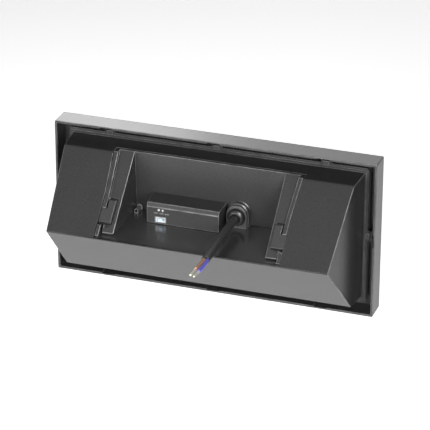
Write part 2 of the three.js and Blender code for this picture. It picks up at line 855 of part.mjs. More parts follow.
// Latches: a block as high as the shoulder, whose head reaches across to the cut's edge
function latch(side) {
  const foot = -cassetteWall;
  const tongue = slopePrism([
    [latchStart, foot, 0],
    [latchEnd, foot, 0],
    [latchEnd, shoulderHeight, latchEdgeRadius],
    [latchStart + latchNose, shoulderHeight, latchEdgeRadius],
    [latchStart, latchLead, 0],
  ], sideSpan(side, latchInner, latchOuter));
  const headStart = shoulderEnd + latchClearance;
  const head = slopePrism([
    [headStart, foot, 0],
    [latchEnd, foot, 0],
    [latchEnd, shoulderHeight, latchEdgeRadius],
    [headStart, shoulderHeight, 0],
  ], sideSpan(side, latchInner, latchHeadOuter));
  return tongue.add(head);
}

// Driver box
function driverOutline(inset, foot) {
  const top = nicheFloorHeight + gap + driverFaceHeight;
  const back = backWallFoot - cassetteWall;
  const roof = nicheFloorHeight + gap + driverBackHeight - inset;
  return rounded([
    [back, foot, 0],
    [driverFront - inset, foot, 0],
    [driverFront - inset, top - inset / 2, 0],
    [driverFront - driverChamferRun - inset / 2, top + driverChamferRise - inset, 0],
    [back, roof, 0],
  ]);
}

function driverPlan(inset) {
  const front = driverFront + overrun;
  const half = driverWidth / 2 - inset;
  return rounded([
    [driverCentreX - half, 0, 0],
    [driverCentreX + half + driverFlare, 0, 0],
    [driverCentreX + half, front, 0],
    [driverCentreX - half, front, 0],
  ]);
}

function driverBody(inset, foot) {
  const side = prismX(driverOutline(inset, foot), -halfFrameWidth, halfFrameWidth);
  return side.intersect(prismZ(driverPlan(inset), -halfFrameHeight, halfFrameHeight));
}

// Everything in front of the back wall, short of it by the gap
function clearOfWall(solid) {
  const foot = -halfFrameHeight;
  const top = halfFrameHeight;
  const behind = prismX(rounded([
    [backWallAt(foot) + gap, foot, 0],
    [backWallAt(top) + gap, top, 0],
    [-halfFrameHeight, top, 0],
    [-halfFrameHeight, foot, 0],
  ]), -halfFrameWidth, halfFrameWidth);
  return solid.subtract(behind);
}

// Screw posts at both ends; the mains cores pass between the left one and the end wall
function driverPosts() {
  const inset = driverWall + postRadius;
  const z = nicheFloorHeight + driverFaceHeight - postRadius;
  const half = driverWidth / 2 - inset;
  const coreRoom = innerCoreRadius * 2 + gap * 4;
  return [[driverCentreX - half + coreRoom, z], [driverCentreX + half, z]];
}

function lensPlaces() {
  const z = lensHeight;
  return [-1, 1].map((side) => [switchCentreX - gap + side * lensSpacing / 2, z]);
}

function driverCover() {
  const foot = nicheFloorHeight + gap;
  const shell = driverBody(0, foot).subtract(driverBody(driverWall, foot - overrun));
  const posts = driverPosts().map(([x, z]) => {
    return cylinderY(postRadius, x, z, [0, driverFront - driverWall / 2]);
  });
  const pilots = driverPosts().map(([x, z]) => {
    return cylinderY(screwRadius + gap, x, z, [-overrun, driverFront - driverWall - overrun]);
  });
  const halfWidth = switchWidth / 2 + gap;
  const halfHeight = switchHeight / 2 + gap;
  const switchHole = block(
    [switchCentreX - halfWidth, switchCentreX + halfWidth],
    [driverFront - driverWall - overrun, driverFront + overrun],
    [switchCentreHeight - halfHeight, switchCentreHeight + halfHeight],
  );
  const lensHoles = lensPlaces().map(([x, z]) => {
    return cylinderY(lensRadius + gap / 2, x, z, [driverFront - driverWall - overrun, driverFront + overrun]);
  });
  return clearOfWall(without(joined([shell, ...posts]), [...pilots, switchHole, ...lensHoles]));
}

function driverScrew([x, z]) {
  const headFront = backWallAt(z) - cassetteWall - gap * 2;
  const head = cylinderY(screwHeadRadius, x, z, [headFront - screwHeadHeight, headFront]);
  const tip = driverFront / 2;
  return head.add(cylinderY(screwRadius, x, z, [headFront - screwHeadHeight / 2, tip]));
}

const boardBottom = nicheFloorHeight + gap * 2;
const boardTop = boardBottom + boardThickness;
const switchFace = driverFront - gap / 2;
const boardFront = switchFace - switchDepth / 2;
const boardRear = backWallAt(boardTop) + gap * 3;

function driverBoard() {
  const half = driverWidth / 2 - driverWall - gap * 2;
  return block([driverCentreX - half, driverCentreX + half], [boardRear, boardFront], [boardBottom, boardTop]);
}

// Board parts take their places and widths as shares of the board's length and depth
function onBoard([placeShare, depthPlaceShare], [widthShare, depthShare], height) {
  const length = driverWidth - driverWall * 2 - gap * 4;
  const x = driverCentreX - length / 2 + placeShare * length;
  const y = boardRear + depthPlaceShare * boardDepth;
  const halfX = (widthShare * length) / 2;
  const halfY = (depthShare * boardDepth) / 2;
  return block([x - halfX, x + halfX], [y - halfY, y + halfY], [boardTop + gap, boardTop + gap + height]);
}

const clearHeight = driverFaceHeight - driverWall * 2 - boardThickness - gap * 4;
const boardDepth = boardFront - boardRear;
const transformerShare = [0.5, 0.55];
const coreShare = [0.16, 0.67];
const bobbinShare = [0.21, 0.5];
const chokeShare = [0.74, 0.3];
const chokeSizeShare = [0.1, 0.33];
const terminalShare = [0.16, 0.3];
const terminalSizeShare = [0.14, 0.5];
const capacitorShare = [0.3, 0.45];

function transformer() {
  const core = onBoard(transformerShare, coreShare, (clearHeight * 5) / 6);
  const bobbin = onBoard(transformerShare, bobbinShare, clearHeight / 2);
  return core.add(bobbin);
}

function choke() {
  return onBoard(chokeShare, chokeSizeShare, clearHeight / 2);
}

function terminals() {
  return onBoard(terminalShare, terminalSizeShare, clearHeight / 2);
}

function capacitor() {
  const half = driverWidth / 2 - driverWall - gap * 2;
  const x = driverCentreX - half + capacitorShare[0] * half * 2;
  const y = boardRear + capacitorShare[1] * boardDepth;
  const radius = clearHeight / 3;
  const geometry = new THREE.CylinderGeometry(radius, radius, clearHeight, boreSides);
  geometry.rotateX(Math.PI / 2);
  geometry.translate(x, y, boardTop + gap + clearHeight / 2);
  return toSolid(geometry);
}

// Colour temperature switch: a well with ribbed ends, and a thumb piece that slides in it
function switchBody() {
  const x = [switchCentreX - switchWidth / 2, switchCentreX + switchWidth / 2];
  const z = [switchCentreHeight - switchHeight / 2, switchCentreHeight + switchHeight / 2];
  const nose = block(x, [boardFront + gap, switchFace], z);
  const heel = block(x, [boardFront - boardDepth / 5, boardFront + overrun], [boardTop + gap, z[1] + overrun]);
  const wellX = x.map((value, i) => value + (i === 0 ? switchRim : -switchRim));
  const wellZ = z.map((value, i) => value + (i === 0 ? switchRim : -switchRim));
  const well = block(wellX, [switchFace - switchWellDepth, switchFace + overrun], wellZ);
  const slotHalf = sliderStemWidth / 2 + sliderTravel + gap;
  const slot = block(
    [switchCentreX - slotHalf, switchCentreX + slotHalf],
    [switchFace - switchWellDepth * 2 - gap, switchFace],
    [switchCentreHeight - sliderStemHeight / 2 - gap, switchCentreHeight + sliderStemHeight / 2 + gap],
  );
  const ribs = [];
  for (let i = 0; i < switchRibPairs; i += 1) {
    for (const side of [-1, 1]) {
      const middle = switchCentreX + side * (switchWidth / 2 - switchRim - switchRibWidth * (1 + 2 * i));
      const ribX = [middle - switchRibWidth / 2, middle + switchRibWidth / 2];
      const floor = switchFace - switchWellDepth;
      ribs.push(block(ribX, [floor - overrun / 2, floor + switchRibRise], wellZ));
    }
  }
  return without(joined([nose.subtract(well), heel, ...ribs]), [slot]);
}

function switchSlider() {
  const floor = switchFace - switchWellDepth + switchRibRise + gap;
  const halfHeight = switchHeight / 2 - switchRim - gap;
  const knob = block(
    [switchCentreX - sliderWidth / 2, switchCentreX + sliderWidth / 2],
    [floor, driverFront + sliderRise],
    [switchCentreHeight - halfHeight, switchCentreHeight + halfHeight],
  );
  const stem = block(
    [switchCentreX - sliderStemWidth / 2, switchCentreX + sliderStemWidth / 2],
    [switchFace - switchWellDepth * 2, floor + overrun / 2],
    [switchCentreHeight - sliderStemHeight / 2, switchCentreHeight + sliderStemHeight / 2],
  );
  return knob.add(stem);
}

function indicatorLens([x, z]) {
  return cylinderY(lensRadius, x, z, [driverFront - driverWall * 2, driverFront + lensRise]);
}

// Cable gland
const glandFoot = nicheFloorHeight + gap;

function glandBoss() {
  const body = prismY(arch(glandX, glandArchHeight, glandBossRadius, glandFoot), 0, glandBossFront);
  const sealSeat = [glandBossFront - glandSealWall * 2, glandBossFront + overrun];
  return clearOfWall(without(body, [
    cylinderY(cableBore, glandX, cableHeight, [-overrun, glandBossFront + overrun]),
    cylinderY(cableBore + glandSealWall + gap, glandX, cableHeight, sealSeat),
  ]));
}

function glandSeal() {
  const y = [glandBossFront - glandSealWall * 2 + gap, glandBossFront];
  const ring = cylinderY(cableBore + glandSealWall, glandX, cableHeight, y);
  return ring.subtract(cylinderY(cableRadius + gap, glandX, cableHeight, [y[0] - overrun, y[1] + overrun]));
}

function glandPlate() {
  const y = [glandBossFront + gap, glandPlateFront];
  const body = prismY(arch(glandX, glandArchHeight, glandPlateRadius, glandFoot), ...y);
  return body.subtract(cylinderY(cableBore, glandX, cableHeight, [y[0] - overrun, y[1] + overrun]));
}

// A domed nut round the cable: a half-round profile turned about the cable's axis
function glandNut() {
  const mouthRadius = cableBore + glandNutMouthWall;
  const profile = [new THREE.Vector2(cableBore, 0)];
  for (let step = 0; step <= cornerSteps; step += 1) {
    const angle = (Math.PI / 2) * (step / cornerSteps);
    const radius = mouthRadius + (glandNutRadius - mouthRadius) * Math.cos(angle);
    profile.push(new THREE.Vector2(radius, glandNutRise * Math.sin(angle)));
  }
  profile.push(new THREE.Vector2(cableBore, glandNutRise));
  profile.push(profile[0].clone());
  const geometry = new THREE.LatheGeometry(profile, boreSides + cornerSteps);
  geometry.translate(glandX, glandPlateFront + gap, cableHeight);
  return toSolid(geometry);
}

function fromMouth(route) {
  return route.map(([x, y, z]) => [glandX + x, glandMouth + y, cableHeight + z]);
}

function innerCoreHeights() {
  return [cableHeight - innerCoreSpread / 2, cableHeight + innerCoreSpread / 2];
}

function innerCoreEndX() {
  return driverCentreX - driverWidth / 2 + driverWall + gap * 2 + innerCoreRadius;
}

// A mains core behind the back wall: in from the gland, along the wall, out to the driver
function innerCore(height) {
  const start = glandMouth + sheathRoute[0][1] - gap;
  const level = backWallAt(height) - cassetteWall - gap * 2 - innerCoreRadius;
  const end = boardRear + innerCoreRadius;
  const endX = innerCoreEndX();
  const straight = (a, b) => new THREE.LineCurve3(new THREE.Vector3(...a), new THREE.Vector3(...b));
  const bend = (a, corner, b) => new THREE.QuadraticBezierCurve3(
    new THREE.Vector3(...a),
    new THREE.Vector3(...corner),
    new THREE.Vector3(...b),
  );
  const path = new THREE.CurvePath();
  path.add(straight([glandX, start, height], [glandX, level + innerCoreBend, height]));
  path.add(bend(
    [glandX, level + innerCoreBend, height],
    [glandX, level, height],
    [glandX + innerCoreBend, level, height],
  ));
  path.add(straight([glandX + innerCoreBend, level, height], [endX - innerCoreBend, level, height]));
  path.add(bend(
    [endX - innerCoreBend, level, height],
    [endX, level, height],
    [endX, level + innerCoreBend, height],
  ));
  path.add(straight([endX, level + innerCoreBend, height], [endX, end + innerCoreBend, height]));
  const points = path.getSpacedPoints(coreSteps * 3).map((point) => point.toArray());
  return tube(points, innerCoreRadius, coreSides, coreSteps * 4);
}

// Breather
const ventX = nicheHalfWidth - ventHalfWidth - ventCollar - gap;

function ventBoss() {
  const top = nicheFloorHeight + gap + ventHeight;
  const front = backWallFoot + gap + ventLength;
  const body = prismY(arch(ventX, top - ventHalfWidth, ventHalfWidth, nicheFloorHeight + gap), 0, front);
  const collarRadius = ventHalfWidth + ventCollar;
  const collarFront = backWallFoot + gap + ventCollarLength;
  const collar = prismY(arch(ventX, top - ventHalfWidth, collarRadius, nicheFloorHeight + gap), 0, collarFront);
  const bore = cylinderY(ventBoreRadius, ventX, top - ventHalfWidth, [front - ventBoreDepth, front + overrun]);
  return clearOfWall(body.add(collar)).subtract(bore);
}

function ventPlug() {
  const front = backWallFoot + gap + ventLength - ventPlugSetback;
  const z = nicheFloorHeight + gap + ventHeight - ventHalfWidth;
  return cylinderY(ventBoreRadius - gap, ventX, z, [front - ventBoreDepth + ventPlugSetback + gap, front]);
}

// Light source
const plateHalfWidth = bodyHalfWidth - housingWall - plateMargin;
const plateHalfHeight = bodyHalfHeight - housingWall - plateMargin;

function leadPlaces() {
  const z = cableHeight - leadSpacing / 2;
  return [[driverCentreX - leadSpacing / 2, z], [driverCentreX + leadSpacing / 2, z]];
}

function ledPlate() {
  const plate = prismY(rectangle(plateHalfWidth, plateHalfHeight, flangeCornerRadius), plateFront, -plateSetback);
  const depth = [plateFront - overrun, -plateSetback + overrun];
  return without(plate, [
    ...plateScrewPlaces().map(([x, z]) => cylinderY(screwRadius + gap, x, z, depth)),
    ...leadPlaces().map(([x, z]) => cylinderY(leadRadius + gap, x, z, depth)),
  ]);
}

function plateScrew([x, z]) {
  const headRear = plateFront - gap;
  const head = cylinderY(screwHeadRadius, x, z, [headRear - screwHeadHeight, headRear]);
  return head.add(cylinderY(screwRadius, x, z, [headRear - overrun, -plateSetback + gap + ledgeDepth]));
}

const stripFront = plateFront - gap - stripThickness;
const stripHalfLength = plateHalfWidth - stripEndMargin;

function stripHeight(index) {
  const spacing = (plateHalfHeight * 2) / stripCount;
  return spacing * (index - (stripCount - 1) / 2);
}

// A strip board with its row of soldered light emitters
function ledStrip(index) {
  const z = stripHeight(index);
  const board = block(
    [-stripHalfLength, stripHalfLength],
    [stripFront, plateFront - gap],
    [z - stripWidth / 2, z + stripWidth / 2],
  );
  const count = Math.floor((stripHalfLength * 2 - stripEndMargin) / ledPitch);
  const packages = [];
  for (let i = 0; i < count; i += 1) {
    const x = ledPitch * (i - (count - 1) / 2);
    packages.push(block(
      [x - ledLength / 2, x + ledLength / 2],
      [stripFront - ledThickness, stripFront + stripThickness / 2],
      [z - ledHeight / 2, z + ledHeight / 2],
    ));
  }
  return joined([board, ...packages]);
}

// Flat link that carries the supply from one strip to the next
function stripLink(index) {
  const z0 = stripHeight(index) + stripWidth / 2 + gap;
  const z1 = stripHeight(index + 1) - stripWidth / 2 - gap;
  const x1 = stripHalfLength - stripEndMargin;
  return block([x1 - linkWidth, x1], [stripFront, plateFront - gap], [z0, z1]);
}

function outputLead([x, z]) {
  return cylinderY(leadRadius, x, z, [plateFront - gap, boardRear + leadSpacing / 2]);
}

// Finishes
const shellBlack = () => finish(0x2c2e30, 0.42, 0);
const satinBlack = () => finish(0x343638, 0.48, 0);
const opal = () => finish(0xf2f0ea, 0.5, 0);
const silicone = () => finish(0x8d8f90, 0.8, 0);
const whiteCoat = () => finish(0xf4f4f2, 0.6, 0);
const boardWhite = () => finish(0xe9ece6, 0.55, 0);
const boardGreen = () => finish(0x2f6b46, 0.5, 0);
const steel = () => finish(0xb4b7ba, 0.3, 1);
const ferrite = () => finish(0x2a2724, 0.7, 0);
const copperSleeve = () => finish(0x2d5fb0, 0.5, 0);
const switchWhite = () => finish(0xe6e8ea, 0.5, 0);
const sliderBlue = () => finish(0xd3e6f5, 0.45, 0);
const lensWhite = () => finish(0xf6f6f4, 0.35, 0);
const rubber = () => finish(0x1b1c1d, 0.6, 0);
const brownSleeve = () => finish(0xa8744c, 0.5, 0);
const blueSleeve = () => finish(0x4a4ae0, 0.5, 0);
const tinned = () => finish(0xe8e4cc, 0.35, 0.4);
const redSleeve = () => finish(0xb02a22, 0.5, 0);

const light = new THREE.Group();
light.add(
  piece("front_frame", frontFrame(), satinBlack()),
  piece("diffuser", diffuser(), opal()),
  piece("diffuser_seal", sealRing(diffuserHalfWidth, diffuserHalfHeight, bezelInner + gap), silicone()),
  piece("housing_gasket", sealRing(bodyHalfWidth + gap, bodyHalfHeight + gap, gasketFront), silicone()),
  piece("rear_housing", rearHousing(), shellBlack()),
  piece("mount_cassette", mountCassette(), shellBlack()),
  ...pieces("cassette_screw", cassetteScrewPlaces(), cassetteScrew, steel),
  piece("latch_left", latch(-1), shellBlack()),
  piece("latch_right", latch(1), shellBlack()),
  piece("driver_cover", driverCover(), shellBlack()),
  ...pieces("driver_screw", driverPosts(), driverScrew, steel),
  piece("driver_board", driverBoard(), boardGreen()),
  piece("driver_transformer", transformer(), ferrite()),
  piece("driver_choke", choke(), ferrite()),
  piece("driver_capacitor", capacitor(), copperSleeve()),
  piece("driver_terminals", terminals(), boardWhite()),
  piece("cct_switch_body", switchBody(), switchWhite()),
  piece("cct_slider", switchSlider(), sliderBlue()),
  ...pieces("indicator_lens", lensPlaces(), indicatorLens, lensWhite),
  piece("gland_boss", glandBoss(), shellBlack()),
  piece("gland_seal", glandSeal(), silicone()),
  piece("gland_plate", glandPlate(), shellBlack()),
  piece("gland_nut", glandNut(), shellBlack()),
  piece("cable_sheath", tube(fromMouth(sheathRoute), cableRadius, cableSides, cableSteps), rubber()),
  piece("core_brown", tube(fromMouth(brownRoute), coreRadius, coreSides, coreSteps), brownSleeve()),
  piece("core_blue", tube(fromMouth(blueRoute), coreRadius, coreSides, coreSteps), blueSleeve()),
  piece("core_end_brown", tube(fromMouth(brownEndRoute), endRadius, coreSides, coreSteps), tinned()),
  piece("core_end_blue", tube(fromMouth(blueEndRoute), endRadius, coreSides, coreSteps), tinned()),
  piece("inner_core_blue", innerCore(innerCoreHeights()[0]), blueSleeve()),
  piece("inner_core_brown", innerCore(innerCoreHeights()[1]), brownSleeve()),
  piece("vent_boss", ventBoss(), shellBlack()),
  piece("vent_plug", ventPlug(), silicone()),
  piece("led_plate", ledPlate(), whiteCoat()),
  ...pieces("plate_screw", plateScrewPlaces(), plateScrew, steel),
  ...pieces("output_lead", leadPlaces(), outputLead, redSleeve),
  piece("led_strip_bottom", ledStrip(0), boardWhite()),
  piece("led_strip_middle", ledStrip(1), boardWhite()),
  piece("led_strip_top", ledStrip(2), boardWhite()),
  piece("strip_link_lower", stripLink(0), boardWhite()),
  piece("strip_link_upper", stripLink(1), boardWhite()),
);
light.position.set(0, -seatY, -seatZ);

export default light;
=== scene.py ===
import math

import bmesh
import bpy
from mathutils import Matrix, Vector
from mathutils.bvhtree import BVHTree


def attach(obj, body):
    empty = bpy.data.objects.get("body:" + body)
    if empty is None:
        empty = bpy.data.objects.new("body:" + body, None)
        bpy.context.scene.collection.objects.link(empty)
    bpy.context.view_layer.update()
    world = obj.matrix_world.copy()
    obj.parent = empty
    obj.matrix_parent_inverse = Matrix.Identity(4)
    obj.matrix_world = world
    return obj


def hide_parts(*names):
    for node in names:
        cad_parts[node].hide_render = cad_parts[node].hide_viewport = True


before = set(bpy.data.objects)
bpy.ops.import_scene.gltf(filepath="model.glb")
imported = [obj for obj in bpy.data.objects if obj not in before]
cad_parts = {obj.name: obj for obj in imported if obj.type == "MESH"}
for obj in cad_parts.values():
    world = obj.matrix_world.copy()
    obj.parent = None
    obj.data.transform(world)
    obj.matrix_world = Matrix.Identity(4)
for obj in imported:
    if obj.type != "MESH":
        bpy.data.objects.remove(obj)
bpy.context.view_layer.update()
scene = bpy.context.scene

# Camera and studio: the light is seen from behind and above, from its left rear corner.
# It floats over a pale floor in even white light, with three softboxes on the camera's side
# and two on the side of its window, whose reflections run along the frame's edges.
view_from = Vector((-0.68211, 1.946289, 0.956355))
view_along = Vector((0.2936, -0.8564, -0.4246)).normalized()
view_right = Vector((-0.9454, -0.3259, 0.0036))
view_right = (view_right - view_along * view_right.dot(view_along)).normalized()
view_up = view_right.cross(view_along)
camera_data = bpy.data.cameras.new("rear_view")
camera_data.lens = 217.93
camera_data.sensor_width = 36
camera = bpy.data.objects.new("rear_view", camera_data)
scene.collection.objects.link(camera)
camera.matrix_world = Matrix.Translation(view_from) @ Matrix(
    (view_right, view_up, -view_along)
).transposed().to_4x4()
scene.camera = camera
scene.view_settings.view_transform = "Standard"


def feed(tree, node, inputs):
    """A node's inputs, by place or name, take a plain value or a link from an output."""
    for key, value in dict(inputs).items():
        if isinstance(value, bpy.types.NodeSocket):
            tree.links.new(value, node.inputs[key])
        else:
            node.inputs[key].default_value = value


def add_node(tree, kind, inputs=(), **settings):
    """A new node of a kind, with its settings and its inputs."""
    made = tree.nodes.new(kind)
    for key, value in settings.items():
        setattr(made, key, value)
    feed(tree, made, inputs)
    return made


def maths(tree, operation, *values):
    """The result of a maths node on numbers and outputs, taken in their order."""
    return add_node(tree, "ShaderNodeMath", enumerate(values), operation=operation).outputs[0]


def shown_itself(tree):
    """One for rays that show a thing itself: to the camera, in gloss and through glass."""
    rays = add_node(tree, "ShaderNodeLightPath").outputs
    shown = maths(tree, "MAXIMUM", rays["Is Camera Ray"], rays["Is Glossy Ray"])
    return maths(tree, "MAXIMUM", shown, rays["Is Transmission Ray"])


# The air is white where it shows, and lights the object more from below than from above.
air = bpy.data.worlds.new("studio_air")
air.use_nodes = True
air_tree = air.node_tree
air_way = add_node(air_tree, "ShaderNodeTexCoord").outputs["Generated"]
air_height = add_node(air_tree, "ShaderNodeSeparateXYZ", {0: air_way}).outputs["Z"]
air_tone = add_node(
    air_tree,
    "ShaderNodeMapRange",
    {"Value": air_height, "From Min": 0.1, "From Max": 0.45, "To Min": 0.3, "To Max": 0.08},
    interpolation_type="SMOOTHSTEP",
).outputs["Result"]
air_shown = maths(air_tree, "MAXIMUM", shown_itself(air_tree), air_tone)
feed(air_tree, air_tree.nodes["Background"], {"Color": air_shown})
scene.world = air


def softbox(name, place, aim, width, height, radiance):
    """A rectangular lamp at a place, turned to its aim, that only lights and reflects."""
    data = bpy.data.lights.new(name, "AREA")
    data.shape = "RECTANGLE"
    data.size = width
    data.size_y = height
    data.energy = radiance * math.pi * width * height
    lamp = bpy.data.objects.new(name, data)
    scene.collection.objects.link(lamp)
    lamp.location = place
    lamp.rotation_mode = "QUATERNION"
    lamp.rotation_quaternion = (Vector(aim) - Vector(place)).to_track_quat("-Z", "Y")
    lamp.visible_camera = False
    return lamp


# Each softbox: where it stands, its width and height, and how bright its face is.
for name, place, width, height, radiance in [
    ("camera_softbox_low", (0.12, 1.46, 0.1), 0.5, 0.4, 16.5),
    ("camera_softbox_high", (0.88, 1.16, 0.54), 0.6, 0.4, 9.0),
    ("camera_softbox_right", (-0.825, 1.2, 0.33), 0.5, 0.5, 15.5),
    ("window_softbox_left", (0.658, -1.12, 0.56), 0.5, 0.4, 5.3),
    ("window_softbox_right", (0.28, -1.232, 0.574), 0.4, 0.4, 1.1),
]:
    softbox(name, place, (0, 0, 0), width, height, radiance)
# One more gives only its reflection, on edges that face up and to the picture's right.
softbox("edge_softbox", (-0.96, 0.42, 1.06), (0, 0, 0), 1.0, 1.0, 22.0).visible_diffuse = False

floor_half = 3.0
floor_height = -0.42
floor_glow = 0.7
paper_white = (1, 1, 1, 1)
floor_corners = [
    (x * floor_half, y * floor_half, floor_height) for x, y in [(-1, -1), (1, -1), (1, 1), (-1, 1)]
]
floor_mesh = bpy.data.meshes.new("floor")
floor_mesh.from_pydata(floor_corners, [], [(0, 1, 2, 3)])
floor = bpy.data.objects.new("floor", floor_mesh)
scene.collection.objects.link(floor)
floor_paper = bpy.data.materials.new("floor_paper")
floor_paper.use_nodes = True
floor_tree = floor_paper.node_tree
floor_shader = floor_tree.nodes["Principled BSDF"]
feed(
    floor_tree,
    floor_shader,
    {
        "Base Color": paper_white,
        "Roughness": 1,
        "Specular IOR Level": 0,
        "Emission Color": paper_white,
        "Emission Strength": maths(floor_tree, "MULTIPLY", shown_itself(floor_tree), floor_glow),
    },
)
# From below, the floor is clear.
floor_mix = add_node(
    floor_tree,
    "ShaderNodeMixShader",
    {
        0: add_node(floor_tree, "ShaderNodeNewGeometry").outputs["Backfacing"],
        1: floor_shader.outputs[0],
        2: add_node(floor_tree, "ShaderNodeBsdfTransparent").outputs[0],
    },
)
feed(floor_tree, floor_tree.nodes["Material Output"], {"Surface": floor_mix.outputs[0]})
floor_mesh.materials.append(floor_paper)

# Mains cable: black round flexible sheath, cut back at its free end to show a brown and a
# blue core, each stripped to a tinned strand bundle. It leaves the gland's mouth level and
# droops a little on its way rearwards.

# The bracket's seat is the origin of every piece, and lies here in the case's drawing, in mm.
seat_y, seat_z = 36.8211, 30.425


def mm(x, y, z):
    """A point of the case's drawing, in millimetres, as a place in metres from the seat."""
    return Vector((x, y - seat_y, z - seat_z)) / 1000


def smooth_route(points, steps):
    """Points on a smooth curve through the given ones, with several steps between each pair."""
    ends = [points[0] * 2 - points[1], *points, points[-1] * 2 - points[-2]]
    route = []
    for i in range(1, len(ends) - 2):
        before, here, there, after = ends[i - 1 : i + 3]
        for step in range(steps):
            t = step / steps
            route.append(
                (
                    here * 2
                    + (there - before) * t
                    + (before * 2 - here * 5 + there * 4 - after) * t * t
                    + (here * 3 - before - there * 3 + after) * t * t * t
                )
                / 2
            )
    route.append(points[-1].copy())
    return route


def section_points(centre, along, radii, turn):
    """A ring round a centre, square to a direction, with its own radius at each point."""
    across = along.cross(Vector((0, 0, 1))).normalized()
    upward = across.cross(along).normalized()
    count = len(radii)
    ring = []
    for i, radius in enumerate(radii):
        angle = 2 * math.pi * i / count + turn
        sideways = across * (radius * math.cos(angle))
        ring.append(centre + sideways + upward * (radius * math.sin(angle)))
    return ring


def skin(name, rings, ends="capped", smooth_below=40, worn_and_highlit=()):
    """A mesh through rings of equal point counts: capped at both ends, or joined in a loop."""
    count = len(rings[0])
    mesh = bpy.data.meshes.new(name)
    faces = []
    for r in range(len(rings) if ends == "joined" else len(rings) - 1):
        after = (r + 1) % len(rings) * count
        for i in range(count):
            j = (i + 1) % count
            faces.append((r * count + i, r * count + j, after + j, after + i))
    if ends == "capped":
        faces.append(tuple(reversed(range(count))))
        last = (len(rings) - 1) * count
        faces.append(tuple(last + i for i in range(count)))
    mesh.from_pydata([tuple(p) for ring in rings for p in ring], [], faces)
    # Listed rings get the edge mark, whose paler tone is wear and a painted highlight.
    edge = mesh.attributes.new("edge", "FLOAT", "FACE")
    for i in range(len(faces)):
        edge.data[i].value = float(i // count in worn_and_highlit)
    tidy = bmesh.new()
    tidy.from_mesh(mesh)
    bmesh.ops.recalc_face_normals(tidy, faces=tidy.faces)
    tidy.to_mesh(mesh)
    tidy.free()
    mesh.shade_smooth()
    mesh.set_sharp_from_angle(angle=math.radians(smooth_below))
    piece = bpy.data.objects.new(name, mesh)
    scene.collection.objects.link(piece)
    return piece


def along_route(route, i):
    """The direction of a route at one of its points."""
    return (route[min(i + 1, len(route) - 1)] - route[max(i - 1, 0)]).normalized()


def new_group(name, inputs, outputs, kind="ShaderNodeTree"):
    """An empty node group with named sockets, each given as a name, a kind and a value."""
    group = bpy.data.node_groups.new(name, kind)
    for label, socket_kind, value in inputs:
        socket = group.interface.new_socket(label, in_out="INPUT", socket_type=socket_kind)
        if value is not None:
            socket.default_value = value
    for label, socket_kind in outputs:
        group.interface.new_socket(label, in_out="OUTPUT", socket_type=socket_kind)
    given = group.nodes.new("NodeGroupInput")
    return group, given.outputs, group.nodes.new("NodeGroupOutput")


number = "NodeSocketFloat"
colour = "NodeSocketColor"
vector = "NodeSocketVector"


def noise(tree, place, scale, inputs):
    """A cloudy pattern over a place, between nought and one."""
    pattern = {"Vector": place, "Scale": scale, **inputs}
    return add_node(tree, "ShaderNodeTexNoise", pattern).outputs["Fac"]


def scaled(tree, tone, factor):
    """A colour made paler or darker by a factor."""
    inputs = {0: tone, "Scale": factor}
    return add_node(tree, "ShaderNodeVectorMath", inputs, operation="SCALE").outputs[0]


def mould_texture_group():
    """Fine spark grain of a mould, with slow drifts of tone and gloss over the surface."""
    group, given, result = new_group(
        "mould_texture",
        [
            ("Place", vector, (0, 0, 0)),
            ("Tone", colour, (0.04, 0.04, 0.04, 1)),
            ("Tone Drift", number, 0.1),
            ("Drift Size", number, 0.03),
            ("Roughness", number, 0.35),
            ("Roughness Drift", number, 0.05),
            ("Grain Size", number, 0.0004),
            ("Speckle", number, 0.2),
        ],
        [("Color", colour), ("Roughness", number), ("Height", number)],
    )
    per_grain = maths(group, "DIVIDE", 1, given["Grain Size"])
    grain = noise(group, given["Place"], per_grain, {"Detail": 2, "Distortion": 0.8})
    per_drift = maths(group, "DIVIDE", 1, given["Drift Size"])
    drift = noise(group, given["Place"], per_drift, {"Detail": 0})
    spread = maths(group, "SUBTRACT", drift, 0.5)
    drifted = maths(group, "MULTIPLY_ADD", spread, given["Tone Drift"], 1)
    grain_range = {"Value": grain, "From Min": 0.3, "From Max": 0.7, "To Min": -1}
    grain_side = add_node(group, "ShaderNodeMapRange", grain_range).outputs["Result"]
    speckled = maths(group, "MULTIPLY_ADD", grain_side, given["Speckle"], 1)
    rough = maths(group, "MULTIPLY_ADD", spread, given["Roughness Drift"], given["Roughness"])
    tone = scaled(group, scaled(group, given["Tone"], drifted), speckled)
    feed(group, result, {"Color": tone, "Roughness": rough, "Height": grain})
    return group


def edge_wear_and_highlight_group():
    """Edges that handling has polished: glossier, and much paler in broken patches, a paleness that
    is partly polish and partly a painted highlight.
    """
    group, given, result = new_group(
        "edge_wear_and_highlight",
        [
            ("Place", vector, (0, 0, 0)),
            ("Tone", colour, (0.04, 0.04, 0.04, 1)),
            ("Roughness", number, 0.35),
            ("Edge", number, 0),
            ("Amount", number, 0.5),
        ],
        [("Color", colour), ("Roughness", number)],
    )
    # Marked edges turn up to 4.6 times paler: partly wear, partly a painted highlight along the
    # edges.
    patches_per_metre, paler, glossier = 90, 3.6, -0.1
    patches = noise(group, given["Place"], patches_per_metre, {"Detail": 3})
    broken = add_node(
        group,
        "ShaderNodeMapRange",
        {"Value": patches, "From Min": 0.35, "From Max": 0.6, "To Min": 0.35},
    ).outputs["Result"]
    amount = maths(group, "MULTIPLY", broken, given["Amount"])
    mask = maths(group, "MULTIPLY", amount, given["Edge"])
    tone = scaled(group, given["Tone"], maths(group, "MULTIPLY_ADD", mask, paler, 1))
    rough = maths(group, "MULTIPLY_ADD", mask, glossier, given["Roughness"])
    feed(group, result, {"Color": tone, "Roughness": rough})
    return group


mould_texture = mould_texture_group()
edge_wear_and_highlight = edge_wear_and_highlight_group()


